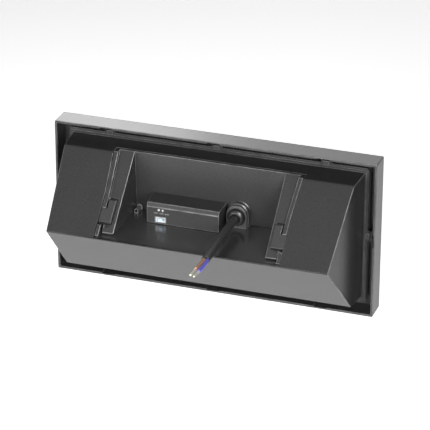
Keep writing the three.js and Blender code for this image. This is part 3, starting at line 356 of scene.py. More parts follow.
def moulded(name, tone, roughness, grain=(0.0008, 0.00002), drift=0.12, rub_and_highlight=0.0, own=()):
    """A moulded or cast finish: grain of a size and height, drifts of tone and gloss, and rubbed
    edges whose paler tone is partly a painted highlight.

    Its own values, by name, are set straight on the shader."""
    material = bpy.data.materials.new(name)
    material.use_nodes = True
    tree = material.node_tree
    grain_size, grain_height = grain
    place = add_node(tree, "ShaderNodeTexCoord").outputs["Object"]
    texture = add_node(
        tree,
        "ShaderNodeGroup",
        {
            "Place": place,
            "Tone": (*tone, 1),
            "Tone Drift": drift,
            "Roughness": roughness,
            "Roughness Drift": 0.03,
            "Grain Size": grain_size,
            "Speckle": 0.2 if max(tone) < 0.3 else 0.03,
        },
        node_tree=mould_texture,
    ).outputs
    bump = add_node(
        tree,
        "ShaderNodeBump",
        {"Strength": 1, "Distance": grain_height, "Height": texture["Height"]},
    )
    # Rubbed edges: glossier from wear, and paler as a painted highlight.
    if rub_and_highlight:
        edge = add_node(tree, "ShaderNodeAttribute", attribute_name="edge").outputs["Fac"]
        surface = {"Tone": texture["Color"], "Roughness": texture["Roughness"]}
        wear_and_highlight_inputs = {"Place": place, "Edge": edge, "Amount": rub_and_highlight, **surface}
        texture = add_node(tree, "ShaderNodeGroup", wear_and_highlight_inputs, node_tree=edge_wear_and_highlight).outputs
    surface = {"Base Color": texture["Color"], "Roughness": texture["Roughness"]}
    finish = {"Normal": bump.outputs["Normal"], **surface, **dict(own)}
    feed(tree, tree.nodes["Principled BSDF"], finish)
    return material


def fitted(piece, body, slot, material, *nodes):
    """A finished piece rides on its body, stands for its solids and takes its finish."""
    if not piece.data.materials:
        piece.data.materials.append(material)
    else:
        piece.data.materials[0] = material
    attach(piece, body)
    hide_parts(*nodes)
    return piece


mouth = (-27.0, 18.4, 11.4)


def from_mouth(route):
    """A route given in millimetres from the gland's mouth."""
    return [mm(mouth[0] + x, mouth[1] + y, mouth[2] + z) for x, y, z in route]


# How far the sheath has drooped, in mm, at the mouth and at every 6 mm from there.
droops = [0, 0.05, 0.15, 0.3, 0.5, 0.75, 1.05, 1.4, 1.75, 2.15, 2.55, 2.95, 3.35]
drooping = [(0, 6 * i, -droop) for i, droop in enumerate(droops)]
sheath_points = from_mouth([(0, -7, 0), *drooping, (0, 78.2, -3.75)])
sheath_radius = 0.00365
sheath_sides = 40
sheath_route = smooth_route(sheath_points, 4)
sheath_rings = []
for i, centre in enumerate(sheath_route[:-1]):
    ripple = 1 + 0.004 * math.sin(i * 1.7) + 0.003 * math.sin(i * 0.6 + 1)
    radii = [sheath_radius * ripple] * sheath_sides
    sheath_rings.append(section_points(centre, along_route(sheath_route, i), radii, 0))
sheath_along = along_route(sheath_route, len(sheath_route) - 1)
sheath_end = sheath_route[-1]
# The cut end: how far back each ring stands, and its radius.
for back, radius in [
    (0.00035, 0.00365),
    (0.00010, 0.00358),
    (0.0, 0.00350),
    (0.0, 0.00338),
    (0.0009, 0.00332),
]:
    centre = sheath_end - sheath_along * back
    sheath_rings.append(section_points(centre, sheath_along, [radius] * sheath_sides, 0))
sheath = skin("mains_sheath", sheath_rings)
rubber = moulded("sheath_rubber", (0.03, 0.03, 0.031), 0.34, (0.0009, 0.00002), drift=0.3)
fitted(sheath, "case", "sheath", rubber, "cable_sheath")
core_radius = 0.0016
core_sides = 28
core_start_back = 0.0009


def insulated_core(name, points, slot, material):
    """An insulated core with slightly rounded ends, from just inside the sheath's cut end."""
    route = smooth_route(points, 6)
    route[0] = route[0] - along_route(route, 0) * core_start_back
    last = along_route(route, len(route) - 1)
    rings = [
        section_points(route[i], along_route(route, i), [core_radius] * core_sides, 0)
        for i in range(len(route) - 1)
    ]
    for back, factor in [(0.00018, 1.0), (0.00005, 0.97), (0.0, 0.88)]:
        radii = [core_radius * factor] * core_sides
        rings.append(section_points(route[-1] - last * back, last, radii, 0))
    return fitted(skin(name, rings), "case", slot, material, slot)


brown_points = from_mouth(
    [(1.55, 78.5, -3.7), (1.6, 83, -3.75), (1.75, 88, -3.6), (1.8, 93, -3.3), (1.75, 99, -3)]
)
blue_points = from_mouth(
    [
        (-1.65, 78.5, -3.9),
        (-1.7, 83, -4.1),
        (-1.75, 88, -4.2),
        (-1.8, 94, -4.1),
        (-1.7, 100.6, -3.9),
    ]
)
sleeve_grain = (0.0012, 0.00001)
brown_sleeve = moulded("brown_sleeve", (0.6, 0.32, 0.19), 0.4, sleeve_grain, drift=0.2)
blue_sleeve = moulded("blue_sleeve", (0.17, 0.16, 0.82), 0.4, sleeve_grain, drift=0.2)
core_brown = insulated_core("mains_core_brown", brown_points, "core_brown", brown_sleeve)
core_blue = insulated_core("mains_core_blue", blue_points, "core_blue", blue_sleeve)


def tinned_bundle(name, points, node):
    """Seven twisted strands that solder has run together, drawn to a small round tip."""
    route = smooth_route(points, 12)
    radius = 0.0011
    strands = 7
    sides = strands * 6
    twist = 2.6
    rings = []
    count = len(route)
    for i, centre in enumerate(route[:-1]):
        t = i / (count - 1)
        lobe = 0.11 * (1 - 0.75 * max(0.0, (t - 0.6) / 0.4))
        size = radius * (1 - 0.16 * math.sin(math.pi * min(1, t / 0.85)))
        radii = [
            size * (1 - lobe * (0.5 - 0.5 * math.cos(strands * 2 * math.pi * k / sides)) ** 2)
            for k in range(sides)
        ]
        rings.append(section_points(centre, along_route(route, i), radii, t * twist))
    tip_along = along_route(route, count - 1)
    tip_start = route[-1] - tip_along * radius * 0.9
    for step in range(7):
        angle = math.pi / 2 * step / 6.5
        centre = tip_start + tip_along * (radius * 0.9 * math.sin(angle))
        radii = [radius * 0.9 * math.cos(angle)] * sides
        rings.append(section_points(centre, tip_along, radii, twist))
    return fitted(skin(name, rings, smooth_below=60), "case", "tinned", tinned, node)


tinned = moulded(
    "tinned_strands", (0.74, 0.71, 0.58), 0.3, (0.0008, 0.00003), drift=0.25, own={"Metallic": 0.35}
)
end_brown = tinned_bundle(
    "tinned_end_brown",
    from_mouth([(1.75, 99.3, -3), (1.8, 106, -2.7), (1.9, 112.6, -2.6)]),
    "core_end_brown",
)
end_blue = tinned_bundle(
    "tinned_end_blue",
    from_mouth([(-1.7, 100.9, -3.9), (-1.55, 107, -3.4), (-1.4, 113, -3.1)]),
    "core_end_blue",
)

# Front frame: a shallow tray moulded in satin black plastic, open to the rear, with hooks
# on its walls that snap into the housing's loops, and a bezel round the light window.


def edge_room(tree, edge):
    """How much width the faces beside an edge have for its rounding."""
    room, inset, lift = 0.01, 0.0002, 0.00002
    middle = (edge.verts[0].co + edge.verts[1].co) / 2
    for loop in edge.link_loops:
        along = (loop.link_loop_next.vert.co - loop.vert.co).normalized()
        inward = loop.face.normal.cross(along)
        for side in (-lift, lift):
            start = middle + inward * inset + loop.face.normal * side
            place, _, _, distance = tree.ray_cast(start, inward, room)
            if place is not None:
                room = min(room, distance + inset)
    along = (edge.verts[1].co - edge.verts[0].co).normalized()
    for vert in edge.verts:
        for other in vert.link_edges:
            way = (other.verts[1].co - other.verts[0].co).normalized()
            crosses = other is not edge and abs(way.dot(along)) < 0.75
            if crosses and other.calc_face_angle(0) > 0.5:
                room = min(room, other.calc_length())
    return room


def softened(node, name, width, segments=2, below=32, shift=None, finer=None):
    """A copy of a solid with its sharp edges rounded, and those faces marked as edge.

    Inner edges, and those that finer picks, are rounded less. Large faces are shaded flat."""
    weld_distance, flat_degrees, share_of_room = 5e-6, 0.6, 0.42
    fine_width, large_area, stray_height = 0.00015, 0.00015, 0.00025
    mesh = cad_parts[node].data.copy()
    mesh.name = name
    if "custom_normal" in mesh.attributes:
        mesh.attributes.remove(mesh.attributes["custom_normal"])
    mesh.materials.clear()
    work = bmesh.new()
    work.from_mesh(mesh)
    bmesh.ops.remove_doubles(work, verts=work.verts, dist=weld_distance)
    flat = math.radians(flat_degrees)
    bmesh.ops.dissolve_limit(work, angle_limit=flat, verts=work.verts, edges=work.edges)
    for vert in work.verts:
        if shift:
            vert.co = shift(vert.co)
    work.normal_update()
    tree = BVHTree.FromBMesh(work)
    weight = work.edges.layers.float.new("bevel_weight_edge")
    for edge in work.edges:
        if edge.calc_face_angle(0) > math.radians(below):
            own = width
            if not edge.is_convex or finer and finer((edge.verts[0].co + edge.verts[1].co) / 2):
                own = min(width, fine_width)
            edge[weight] = min(own, share_of_room * edge_room(tree, edge)) / width
    work.to_mesh(mesh)
    work.free()
    mesh.shade_smooth()
    mesh.set_sharp_from_angle(angle=math.radians(below))
    piece = bpy.data.objects.new(name, mesh)
    scene.collection.objects.link(piece)
    bevel = piece.modifiers.new("rounded_edges", "BEVEL")
    bevel.width = width
    bevel.segments = segments
    bevel.limit_method = "WEIGHT"
    bevel.use_clamp_overlap = False
    bevel.harden_normals = True
    bevel.material = 1
    mesh.materials.append(None)
    mesh.materials.append(None)
    plain(piece)
    shading = [tuple(corner.vector) for corner in piece.data.corner_normals]
    for polygon in piece.data.polygons:
        if polygon.area > large_area:
            for corner in polygon.loop_indices:
                shading[corner] = tuple(polygon.normal)
    for vert in piece.data.vertices:
        place, normal = tree.find_nearest(vert.co)[:2]
        if (vert.co - place).dot(normal) > stray_height:
            vert.co = place
    piece.data.update()
    piece.data.normals_split_custom_set(shading)
    return piece


def plain(piece):
    """The piece with its modifiers applied, and its rounded faces marked for rubbed edges and their
    painted highlight.
    """
    graph = bpy.context.evaluated_depsgraph_get()
    mesh = bpy.data.meshes.new_from_object(
        piece.evaluated_get(graph), preserve_all_data_layers=True, depsgraph=graph
    )
    mesh.name = piece.name
    piece.modifiers.clear()
    piece.data = mesh
    edge = mesh.attributes.new("edge", "FLOAT", "FACE")
    for i, polygon in enumerate(mesh.polygons):
        edge.data[i].value = float(polygon.material_index == 1)
        polygon.material_index = 0
    mesh.materials.clear()
    return piece


frame_plastic = moulded("frame_plastic", (0.036, 0.036, 0.0365), 0.3, rub_and_highlight=1.0)
front_frame = softened("front_frame", "tray_frame", 0.0005)
fitted(front_frame, "case", "frame", frame_plastic, "front_frame")

# Diffuser and seals: a satin opal panel behind the bezel, with a field of tiny lenses on
# its front that hides the light points. Foamed silicone rings seal it to frame and housing.


def lens_field_group():
    """A close grid of tiny domes, as a height, for the face of a light panel."""
    group, given, result = new_group(
        "lens_field",
        [("Place", vector, (0, 0, 0)), ("Pitch", number, 0.0012)],
        [("Height", number)],
    )
    per_lens = maths(group, "DIVIDE", 1, given["Pitch"])
    grid = {"Randomness": 0, "Vector": given["Place"], "Scale": per_lens}
    cells = add_node(group, "ShaderNodeTexVoronoi", grid)
    dome = maths(group, "MULTIPLY_ADD", cells.outputs["Distance"], -1, 1)
    feed(group, result, {"Height": dome})
    return group


opal_panel = moulded("opal_panel", (0.82, 0.81, 0.78), 0.42, (0.0006, 0.00001), drift=0.03)
opal_tree = opal_panel.node_tree
opal_place = opal_tree.nodes["Texture Coordinate"].outputs["Object"]
opal_lenses = add_node(
    opal_tree, "ShaderNodeGroup", {"Place": opal_place}, node_tree=lens_field_group()
)
opal_bump = add_node(
    opal_tree,
    "ShaderNodeBump",
    {
        "Distance": 0.00006,
        "Height": opal_lenses.outputs["Height"],
        "Normal": opal_tree.nodes["Bump"].outputs["Normal"],
    },
)
opal_body = {"Subsurface Weight": 0.25, "Subsurface Scale": 0.002}
opal_face = {"Normal": opal_bump.outputs["Normal"], **opal_body}
feed(opal_tree, opal_tree.nodes["Principled BSDF"], opal_face)
opal_diffuser = softened("diffuser", "opal_diffuser", 0.0004)
fitted(opal_diffuser, "case", "opal", opal_panel, "diffuser")

seal_foam = moulded("seal_foam", (0.03, 0.03, 0.031), 0.75, (0.0004, 0.00006), drift=0.25)
# Half the width and height, in mm, of the diffuser's rim and of the seal that covers it.
rim_x, rim_z = 136.9, 60.2
cover_x, cover_z = 140.5, 63.8


def over_the_rim_for_shade(point):
    """The housing's seal reaches out over the diffuser's rim and hides it, its dark foam standing
    for the shade in the gap inside the frame.
    """
    x, z = point.x, point.z + seat_z / 1000
    if abs(x) * 1000 > rim_x - 1 or abs(z) * 1000 > rim_z - 1:
        return Vector((x * cover_x / rim_x, point.y, z * cover_z / rim_z - seat_z / 1000))
    return point


seal_edge = 0.00012
diffuser_ring = softened("diffuser_seal", "diffuser_seal_ring", seal_edge)
fitted(diffuser_ring, "case", "silicone", seal_foam, "diffuser_seal")
# The seal is stretched so its dark foam covers the diffuser's rim: a dark sheet painting the gap's
# shade.
housing_ring = softened("housing_gasket", "housing_seal_ring", seal_edge, shift=over_the_rim_for_shade)
fitted(housing_ring, "case", "silicone", seal_foam, "housing_gasket")

# Rear housing: one wedge-shaped moulding in satin black plastic. Its flange drops into the
# frame, its loops snap over the frame's hooks, and its niche floor is the glossiest part.
shell_plastic = moulded(
    "shell_plastic", (0.039, 0.039, 0.0395), 0.26, rub_and_highlight=1.0, own={"Specular IOR Level": 0.23}
)
# The niche floor is the same moulding in a paler, glossier copy: its gloss is its own, its paler
# tone is painted light on this upward face.
niche_floor_lit_plastic = moulded(
    "niche_floor_lit_plastic",
    (0.064, 0.064, 0.065),
    0.22,
    (0.0008, 0.00001),
    own={"Coat Weight": 0.9, "Coat Roughness": 0.23},
)


def crisp_edge(point):
    """The flange, and where the housing meets the cassette's lip at the head of the cut."""
    lip_half, lip_foot, lip_head, flange_y = 0.0872, 0.056, 0.0592, -10.5
    at_lip = abs(point.x) < lip_half and lip_foot < point.z + seat_z / 1000 < lip_head
    return at_lip or point.y < mm(0, flange_y, 0).y


moulding_edge = 0.0006
rear_housing = softened("rear_housing", "wedge_housing", moulding_edge, finer=crisp_edge)
fitted(rear_housing, "case", "shell", shell_plastic, "rear_housing")
rear_housing.data.materials.append(niche_floor_lit_plastic)
niche_floor_z, niche_half = mm(0, 0, 0.5).z, 0.089
# Up-facing niche floor faces take the paler copy, painted light on the floor.
for polygon in rear_housing.data.polygons:
    level = polygon.normal.z > 0.9 and abs(polygon.center.z - niche_floor_z) < 0.0002
    if level and abs(polygon.center.x) < niche_half:
        polygon.material_index = 1

# Mounting cassette: the moulding that lines the niche, with a rail down each side whose
# raised shoulder follows the cut's edge. It hangs the light on its bracket.
slope_across = Vector((1, 0, 0))
slope_down = Vector((0, math.sqrt(0.5), -math.sqrt(0.5)))
slope_out = Vector((0, math.sqrt(0.5), math.sqrt(0.5)))
slope_top = mm(0, 8.7961, 58.45)


def on_slope(across, down, out):
    """A place on the rails' sloping face, given in millimetres, in the row frame."""
    way = slope_across * across + slope_down * down + slope_out * out
    return slope_top + way / 1000


def slope_place(point):
    """How far across, down and out from the rails' sloping face a point lies, in millimetres."""
    way = (point - slope_top) * 1000
    return way.x, way.dot(slope_down), way.dot(slope_out)


def shoulder_fit(point):
    """The shoulders and foot ribs reach almost to the housing's cut edge."""
    head_half, foot_half, narrowing, taper_length = 87.6, 84.9, 2.7, 44
    shoulder_foot, shift = -1.2, 0.17
    across, down, out = slope_place(point)
    edge = head_half if down < 0 else max(foot_half, head_half - narrowing * down / taper_length)
    if out > shoulder_foot and edge - 0.25 < abs(across) < edge + 0.15:
        return on_slope(across + math.copysign(shift, across), down, out)
    return point


def crisp_niche_edge(point):
    """The lip's edge against the housing, and the window round each latch."""
    across, down, out = slope_place(point)
    at_lip = abs(across) < 87.2 and down < -0.2
    at_window = 73 < abs(across) < 82.5 and 45 < down < 71.6
    return at_lip or at_window


niche_plastic = moulded(
    "niche_plastic", (0.044, 0.044, 0.0445), 0.24, rub_and_highlight=1.1, own={"Specular IOR Level": 0.3}
)
cassette = softened(
    "mount_cassette",
    "niche_cassette",
    moulding_edge,
    shift=shoulder_fit,
    finer=crisp_niche_edge,
)
fitted(cassette, "case", "shell", niche_plastic, "mount_cassette")

# Spring latches: a moulded tongue in each rail, cut free on three sides, whose raised block
# snaps behind the bracket. Its head reaches across to the cut's edge.


def latch_fit(point):
    """The head's side and upper end close up to their neighbours."""
    head_side, head_end = 84.98, 57.62
    across, down, out = slope_place(point)
    if abs(across) > 84.4:
        across = math.copysign(head_side, across)
    if 57.8 < down < 58.1 and out > -3:
        down = head_end
    return on_slope(across, down, out)


latch_plastic = moulded("latch_plastic", (0.033, 0.033, 0.0335), 0.3, rub_and_highlight=0.1)
for side in ("left", "right"):
    latch = softened(f"latch_{side}", f"spring_latch_{side}", 0.0003, shift=latch_fit)
    fitted(latch, f"latch_{side}", "shell", latch_plastic, f"latch_{side}")

# Screws: zinc-plated thread-forming screws with a domed head and a cross recess. Four hold
# the cassette and two the driver box, all from inside, and four hold the light plate.
solid = "NodeSocketGeometry"
finish = "NodeSocketMaterial"


def joined(tree, *parts):
    """Several meshes as one, in their order."""
    whole = add_node(tree, "GeometryNodeJoinGeometry")
    for part in parts:
        tree.links.new(part, whole.inputs[0])
    return whole.outputs[0]


def screw_tree():
    """Geometry Nodes that set a screw on each point: domed head, cross recess, thread."""
    tree, given, result = new_group(
        "thread_forming_screw",
        [
            ("Places", solid, None),
            ("Head Radius", number, 0.0026),
            ("Head Height", number, 0.0016),
            ("Shank Radius", number, 0.0013),
            ("Shank Length", number, 0.005),
            ("Thread Pitch", number, 0.0008),
            ("Turn", "NodeSocketRotation", None),
            ("Finish", finish, None),
        ],
        [("Screws", solid)],
        "GeometryNodeTree",
    )

    def times(value, share):
        """A size's share, or a size times a field."""
        return maths(tree, "MULTIPLY", value, share)

    def upright(x, y, z):
        return add_node(tree, "ShaderNodeCombineXYZ", enumerate((x, y, z))).outputs[0]

    def circle(radius, sides):
        shape = {"Radius": radius, "Resolution": sides}
        return add_node(tree, "GeometryNodeCurvePrimitiveCircle", shape).outputs[0]

    def swept(curve, profile, inputs):
        """A closed body of one profile along a curve."""
        body = {"Curve": curve, "Profile Curve": profile, "Fill Caps": True, **inputs}
        return add_node(tree, "GeometryNodeCurveToMesh", body).outputs[0]

    def turned_on(end, radius, count, sides):
        """A solid of revolution on the upright axis up to an end height."""
        axis = add_node(tree, "GeometryNodeCurvePrimitiveLine", {"End": upright(0, 0, end)})
        stations = {"Curve": axis.outputs[0], "Count": count}
        fine = add_node(tree, "GeometryNodeResampleCurve", stations)
        return swept(fine.outputs[0], circle(1, sides), {"Scale": radius})

    def drawn_in(past_one, power):
        """A radius that keeps its width along the axis and closes in towards the end."""
        along = add_node(tree, "GeometryNodeSplineParameter").outputs["Factor"]
        closing = maths(tree, "SUBTRACT", past_one, maths(tree, "POWER", along, power))
        return maths(tree, "SQRT", closing)

    head_radius = times(given["Head Radius"], drawn_in(1.02, 3.0))
    recessed = add_node(
        tree,
        "GeometryNodeMeshBoolean",
        {"Mesh 1": turned_on(given["Head Height"], head_radius, 9, 28)},
        operation="DIFFERENCE",
        solver="EXACT",
    )
    lift = upright(0, 0, times(given["Head Height"], 0.95))
    for shares in ((1.15, 0.26), (0.26, 1.15)):
        width, depth = (times(given["Head Radius"], share) for share in shares)
        size = upright(width, depth, given["Head Height"])
        bar = add_node(tree, "GeometryNodeMeshCube", {"Size": size}).outputs[0]
        raised = add_node(tree, "GeometryNodeTransform", {"Geometry": bar, "Translation": lift})
        tree.links.new(raised.outputs[0], recessed.inputs["Mesh 2"])
    shank_radius = times(times(given["Shank Radius"], 0.8), drawn_in(1.01, 7.0))
    shank_end = times(given["Shank Length"], -1)
    shank = turned_on(shank_end, shank_radius, 10, 20)
    threaded = times(given["Shank Length"], 0.85)
    ridge_centre = times(given["Shank Radius"], 0.82)
    helix = add_node(
        tree,
        "GeometryNodeCurveSpiral",
        {
            "Resolution": 20,
            "Rotations": maths(tree, "DIVIDE", threaded, given["Thread Pitch"]),
            "Start Radius": ridge_centre,
            "End Radius": ridge_centre,
            "Height": times(shank_end, 0.85),
        },
    )
    thread = swept(helix.outputs[0], circle(times(given["Shank Radius"], 0.17), 3), {})
    whole = joined(tree, thread, shank, recessed.outputs["Mesh"])
    points = add_node(tree, "GeometryNodeMeshToPoints", {"Mesh": given["Places"]}).outputs[0]
    row = {"Points": points, "Instance": whole, "Rotation": given["Turn"]}
    placed = add_node(tree, "GeometryNodeInstanceOnPoints", row).outputs[0]
    real = add_node(tree, "GeometryNodeRealizeInstances", {0: placed}).outputs[0]
    coat = {"Geometry": real, "Material": given["Finish"]}
    coated = add_node(tree, "GeometryNodeSetMaterial", coat).outputs[0]
    feed(tree, result, {"Screws": coated})
    return tree


def grown(name, mesh, tree, values):
    """A piece made by a tree from its base mesh, with the tree's inputs set by name."""
    piece = bpy.data.objects.new(name, mesh)
    scene.collection.objects.link(piece)
    growth = piece.modifiers.new("growth", "NODES")
    growth.node_group = tree
    for item in tree.interface.items_tree:
        if item.in_out == "INPUT" and item.name in values:
            growth[item.identifier] = values[item.name]
    graph = bpy.context.evaluated_depsgraph_get()
    made = bpy.data.meshes.new_from_object(piece.evaluated_get(graph), depsgraph=graph)
    made.name = name
    piece.modifiers.clear()
    piece.data = made
    return piece


def dots(name, places):
    """A mesh of bare points, one at each place."""
    mesh = bpy.data.meshes.new(name)
    mesh.from_pydata([tuple(place) for place in places], [], [])
    return mesh


zinc = moulded(
    "zinc_plate", (0.62, 0.63, 0.66), 0.28, (0.0006, 0.000012), drift=0.2, own={"Metallic": 1}
)
screws = screw_tree()
rear_turn = (math.pi / 2, 0, 0)
slope_turn = (math.pi * 3 / 4, 0, 0)
cassette_places = [on_slope(x, down, -2.5) for x in (-92.9, 92.9) for down in (15.853, 63.413)]
driver_places = [mm(-7.1, 2.41, 13.3), mm(47.2, 2.41, 13.3)]
plate_places = [mm(x, -3.1, z) for x in (-118.4, 118.4) for z in (-54.4, 54.4)]
for kind, places, turn, length in [
    ("cassette_screw", cassette_places, slope_turn, 0.0053),
    ("driver_screw", driver_places, rear_turn, 0.0118),
    ("plate_screw", plate_places, rear_turn, 0.0051),
]:
    values = {"Turn": turn, "Shank Length": length, "Finish": zinc}
    row = grown(f"{kind}s", dots(f"{kind}s", places), screws, values)
    row.data.set_sharp_from_angle(angle=math.radians(35))
    fitted(row, "case", "steel", zinc, *[f"{kind}_{i + 1}" for i in range(len(places))])

# Driver box: a moulded cover over the driver, with a chamfered upper front edge. Its face
# carries two small indicator lenses and three printed numbers for the switch's settings.
driver_plastic = moulded(
    "driver_plastic", (0.047, 0.047, 0.0475), 0.26, rub_and_highlight=1.0, own={"Specular IOR Level": 0.3}
)
driver = softened("driver_cover", "driver_box", moulding_edge, below=24)
fitted(driver, "case", "shell", driver_plastic, "driver_cover")

lens_milk = moulded(
    "lens_milk", (0.88, 0.88, 0.86), 0.25, (0.0003, 0.000004), drift=0.05, own={"Coat Weight": 0.5}
)


def turned(name, profile, x, z, sides=64, ends="capped"):
    """A surface turned about a rearward axis, through rings given as radius and depth."""
    rings = [
        section_points(mm(x, y, z), Vector((0, 1, 0)), [radius / 1000] * sides, 0)
        for radius, y in profile
    ]
    return skin(name, rings, ends, smooth_below=35)


dome_profile = [(0.8, 25.4), (0.8, 28.55), (0.76, 28.68), (0.62, 28.79), (0.4, 28.85), (0.1, 28.87)]
lens_z = 14.1
for i, x in enumerate((36.9, 40.6), 1):
    lens = turned(f"indicator_dome_{i}", dome_profile, x, lens_z, 32)
    fitted(lens, "case", "lens", lens_milk, f"indicator_lens_{i}")

ink = moulded("label_ink", (0.3, 0.31, 0.32), 0.5, (0.0002, 0.000003), drift=0.15)
face_y, label_z = 28.612, 11.05
facing_rear = Matrix(((-1, 0, 0), (0, 0, 1), (0, 1, 0))).transposed().to_4x4()
for i, (words, x) in enumerate([("3000", 43.3), ("4000", 38.15), ("6000", 33.0)], 1):
    font = bpy.data.curves.new(f"setting_{i}", "FONT")
    font.body = words
    font.size = 0.0019
    font.extrude = 0.000015
    font.align_x = "CENTER"
    font.align_y = "CENTER"
    drawn = bpy.data.objects.new(f"setting_{i}", font)
    scene.collection.objects.link(drawn)
    graph = bpy.context.evaluated_depsgraph_get()
    printed = bpy.data.meshes.new_from_object(drawn.evaluated_get(graph), depsgraph=graph)
    bpy.data.objects.remove(drawn)
    printed.transform(Matrix.Translation(mm(x, face_y, label_z)) @ facing_rear)
    label = bpy.data.objects.new(f"setting_number_{i}", printed)
    scene.collection.objects.link(label)
    printed.materials.clear()
    printed.materials.append(ink)
    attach(label, "case")

# Colour temperature switch: a white moulded body that fills an opening in the box's face,
# with ribs at both ends of its well, and a pale blue thumb piece that slides between them.
switch_grain = (0.0003, 0.000006)
switch_white = moulded("switch_white", (0.74, 0.75, 0.77), 0.4, switch_grain, drift=0.06, rub_and_highlight=0.1)
slider_blue = moulded("slider_blue", (0.6, 0.75, 0.9), 0.35, switch_grain, drift=0.05, rub_and_highlight=0.1)
switch_body = softened("cct_switch_body", "slide_switch_body", 0.00012)
fitted(switch_body, "case", "switch", switch_white, "cct_switch_body")
thumb = softened("cct_slider", "slide_switch_thumb", 0.0002)
fitted(thumb, "slider", "slider", slider_blue, "cct_slider")

# Driver inside the box: a green board on the floor with a ferrite-cored transformer, a
# choke, an electrolytic capacitor and terminals. Two cores bring the mains in.


def dressed(node, material):
    """A solid whose shape is right keeps it, and takes a finish."""
    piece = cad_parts[node]
    piece.data.materials.clear()
    piece.data.materials.append(material)


solder_mask = moulded("solder_mask", (0.03, 0.16, 0.07), 0.35, (0.0015, 0.00004), drift=0.3)
ferrite_grey = moulded("ferrite_grey", (0.03, 0.027, 0.025), 0.6, (0.0004, 0.00004), drift=0.3)
foil_sleeve = moulded("foil_sleeve", (0.03, 0.1, 0.35), 0.35, (0.002, 0.00001), drift=0.1)
board_white = moulded("board_white", (0.78, 0.79, 0.76), 0.45, (0.0006, 0.00001), drift=0.06)
terminal_plastic = moulded(
    "terminal_plastic", (0.7, 0.71, 0.69), 0.45, (0.0004, 0.00001), drift=0.05
)
lead_red = moulded("lead_red", (0.42, 0.03, 0.02), 0.4, sleeve_grain, drift=0.15)
for node, material in [
    ("driver_board", solder_mask),
    ("driver_transformer", ferrite_grey),
    ("driver_choke", ferrite_grey),
    ("driver_capacitor", foil_sleeve),
    ("driver_terminals", terminal_plastic),
    ("inner_core_blue", blue_sleeve),
    ("inner_core_brown", brown_sleeve),
    ("output_lead_1", lead_red),
    ("output_lead_2", lead_red),
]:
    dressed(node, material)

# Cable gland: an arched boss on the back wall, an arched plate on its face, and a domed nut
# that presses a seal round the cable. The nut stands in a round recess of the plate.
gland_x = mouth[0]
cable_z = mouth[2]
# The heights of the arches' centre and foot, in mm, in the case's drawing.
arch_z = 12.9
arch_foot = 0.8


def arch_reach(radius, c, s):
    """How far an arch's outline lies from the cable's axis in a direction: crown, side or foot."""
    drop = cable_z - arch_z
    under_root = s * s * drop * drop - drop * drop + radius * radius
    crown = -s * drop + math.sqrt(max(0.0, under_root))
    reaches = []
    if cable_z + crown * s >= arch_z:
        reaches.append(crown)
    if abs(c) > 1e-9 and arch_foot <= cable_z + radius / abs(c) * s <= arch_z:
        reaches.append(radius / abs(c))
    if s < 0 and abs((cable_z - arch_foot) / -s * c) <= radius + 1e-6:
        reaches.append((cable_z - arch_foot) / -s)
    return min(reaches)


def arched(name, arches, holes, worn_and_highlit, sides=96):
    """A closed arched body through arches and then round holes, each a radius and a depth."""
    corner = math.atan2(arch_foot - cable_z, arches[0][0])
    turns = {2 * math.pi * i / sides for i in range(sides)}
    turns |= {corner % (2 * math.pi), (math.pi - corner) % (2 * math.pi)}
    rings = []
    for i, (radius, depth) in enumerate(arches + holes):
        ring = []
        for turn in sorted(turns):
            c, s = math.cos(turn), math.sin(turn)
            reach = arch_reach(radius, c, s) if i < len(arches) else radius
            z = cable_z + reach * s
            ring.append(mm(gland_x + reach * c, depth(z) if callable(depth) else depth, z))
        rings.append(ring)
    return skin(name, rings, "joined", smooth_below=50, worn_and_highlit=worn_and_highlit)


def wall_at(z):
    """Where the leaning back wall's face is at a height, with the gap that pieces keep to it."""
    wall_foot_y, wall_foot_z, lean = 4.5, 0.5, 0.0793
    return wall_foot_y + (z - wall_foot_z) * lean


gland_plastic = moulded(
    "gland_plastic",
    (0.028, 0.028, 0.0285),
    0.32,
    (0.0006, 0.00001),
    rub_and_highlight=0.7,
    own={"Specular IOR Level": 0.4},
)
# The listed rings of boss and plate take the edge mark: rubbed, and paler as a painted highlight on
# their rims.
boss = arched(
    "cable_boss",
    [
        (11.2, wall_at),
        (11.2, 6.4),
        (11.05, 6.7),
        (10.7, 6.85),
        (10.55, 7.1),
        (10.5, 8.6),
        (10.36, 9.6),
        (9.95, 10.4),
        (9.3, 11.0),
        (8.7, 11.2),
    ],
    [(6.4, 11.2), (6.4, 7.2), (4.1, 7.2), (4.1, 4.9)],
    worn_and_highlit=(1, 2, 6, 7),
)
fitted(boss, "case", "shell", gland_plastic, "gland_boss")
plate = arched(
    "cable_arch_plate",
    [(9.3, 11.5), (9.5, 11.7), (9.5, 13.7), (9.4, 14.0), (9.1, 14.17), (8.8, 14.2)],
    [(8.65, 14.2), (8.5, 13.9), (8.1, 13.9), (7.95, 13.75), (7.95, 13.1), (4.1, 13.1), (4.1, 11.5)],
    worn_and_highlit=(2, 3, 4, 5),
)
fitted(plate, "case", "shell", gland_plastic, "gland_plate")
nut_profile = [(4.1, 13.4), (7.3, 13.4), (7.5, 13.6), (7.5, 14.7)]
dome_steps = 13
for step in range(1, dome_steps):
    angle = math.pi / 2 * step / dome_steps
    nut_profile.append((5.0 + 2.5 * math.cos(angle), 14.7 + 3.7 * math.sin(angle)))
nut_profile += [(4.85, 18.4), (4.5, 18.35), (4.2, 18.1), (4.1, 17.8)]
nut = turned("cable_nut", nut_profile, gland_x, cable_z, 96, "joined")
fitted(nut, "case", "shell", gland_plastic, "gland_nut")
seal_profile = [
    (3.95, 7.6),
    (6.0, 7.5),
    (6.1, 7.7),
    (6.1, 10.9),
    (5.9, 11.1),
    (4.1, 11.15),
    (3.95, 11.0),
]
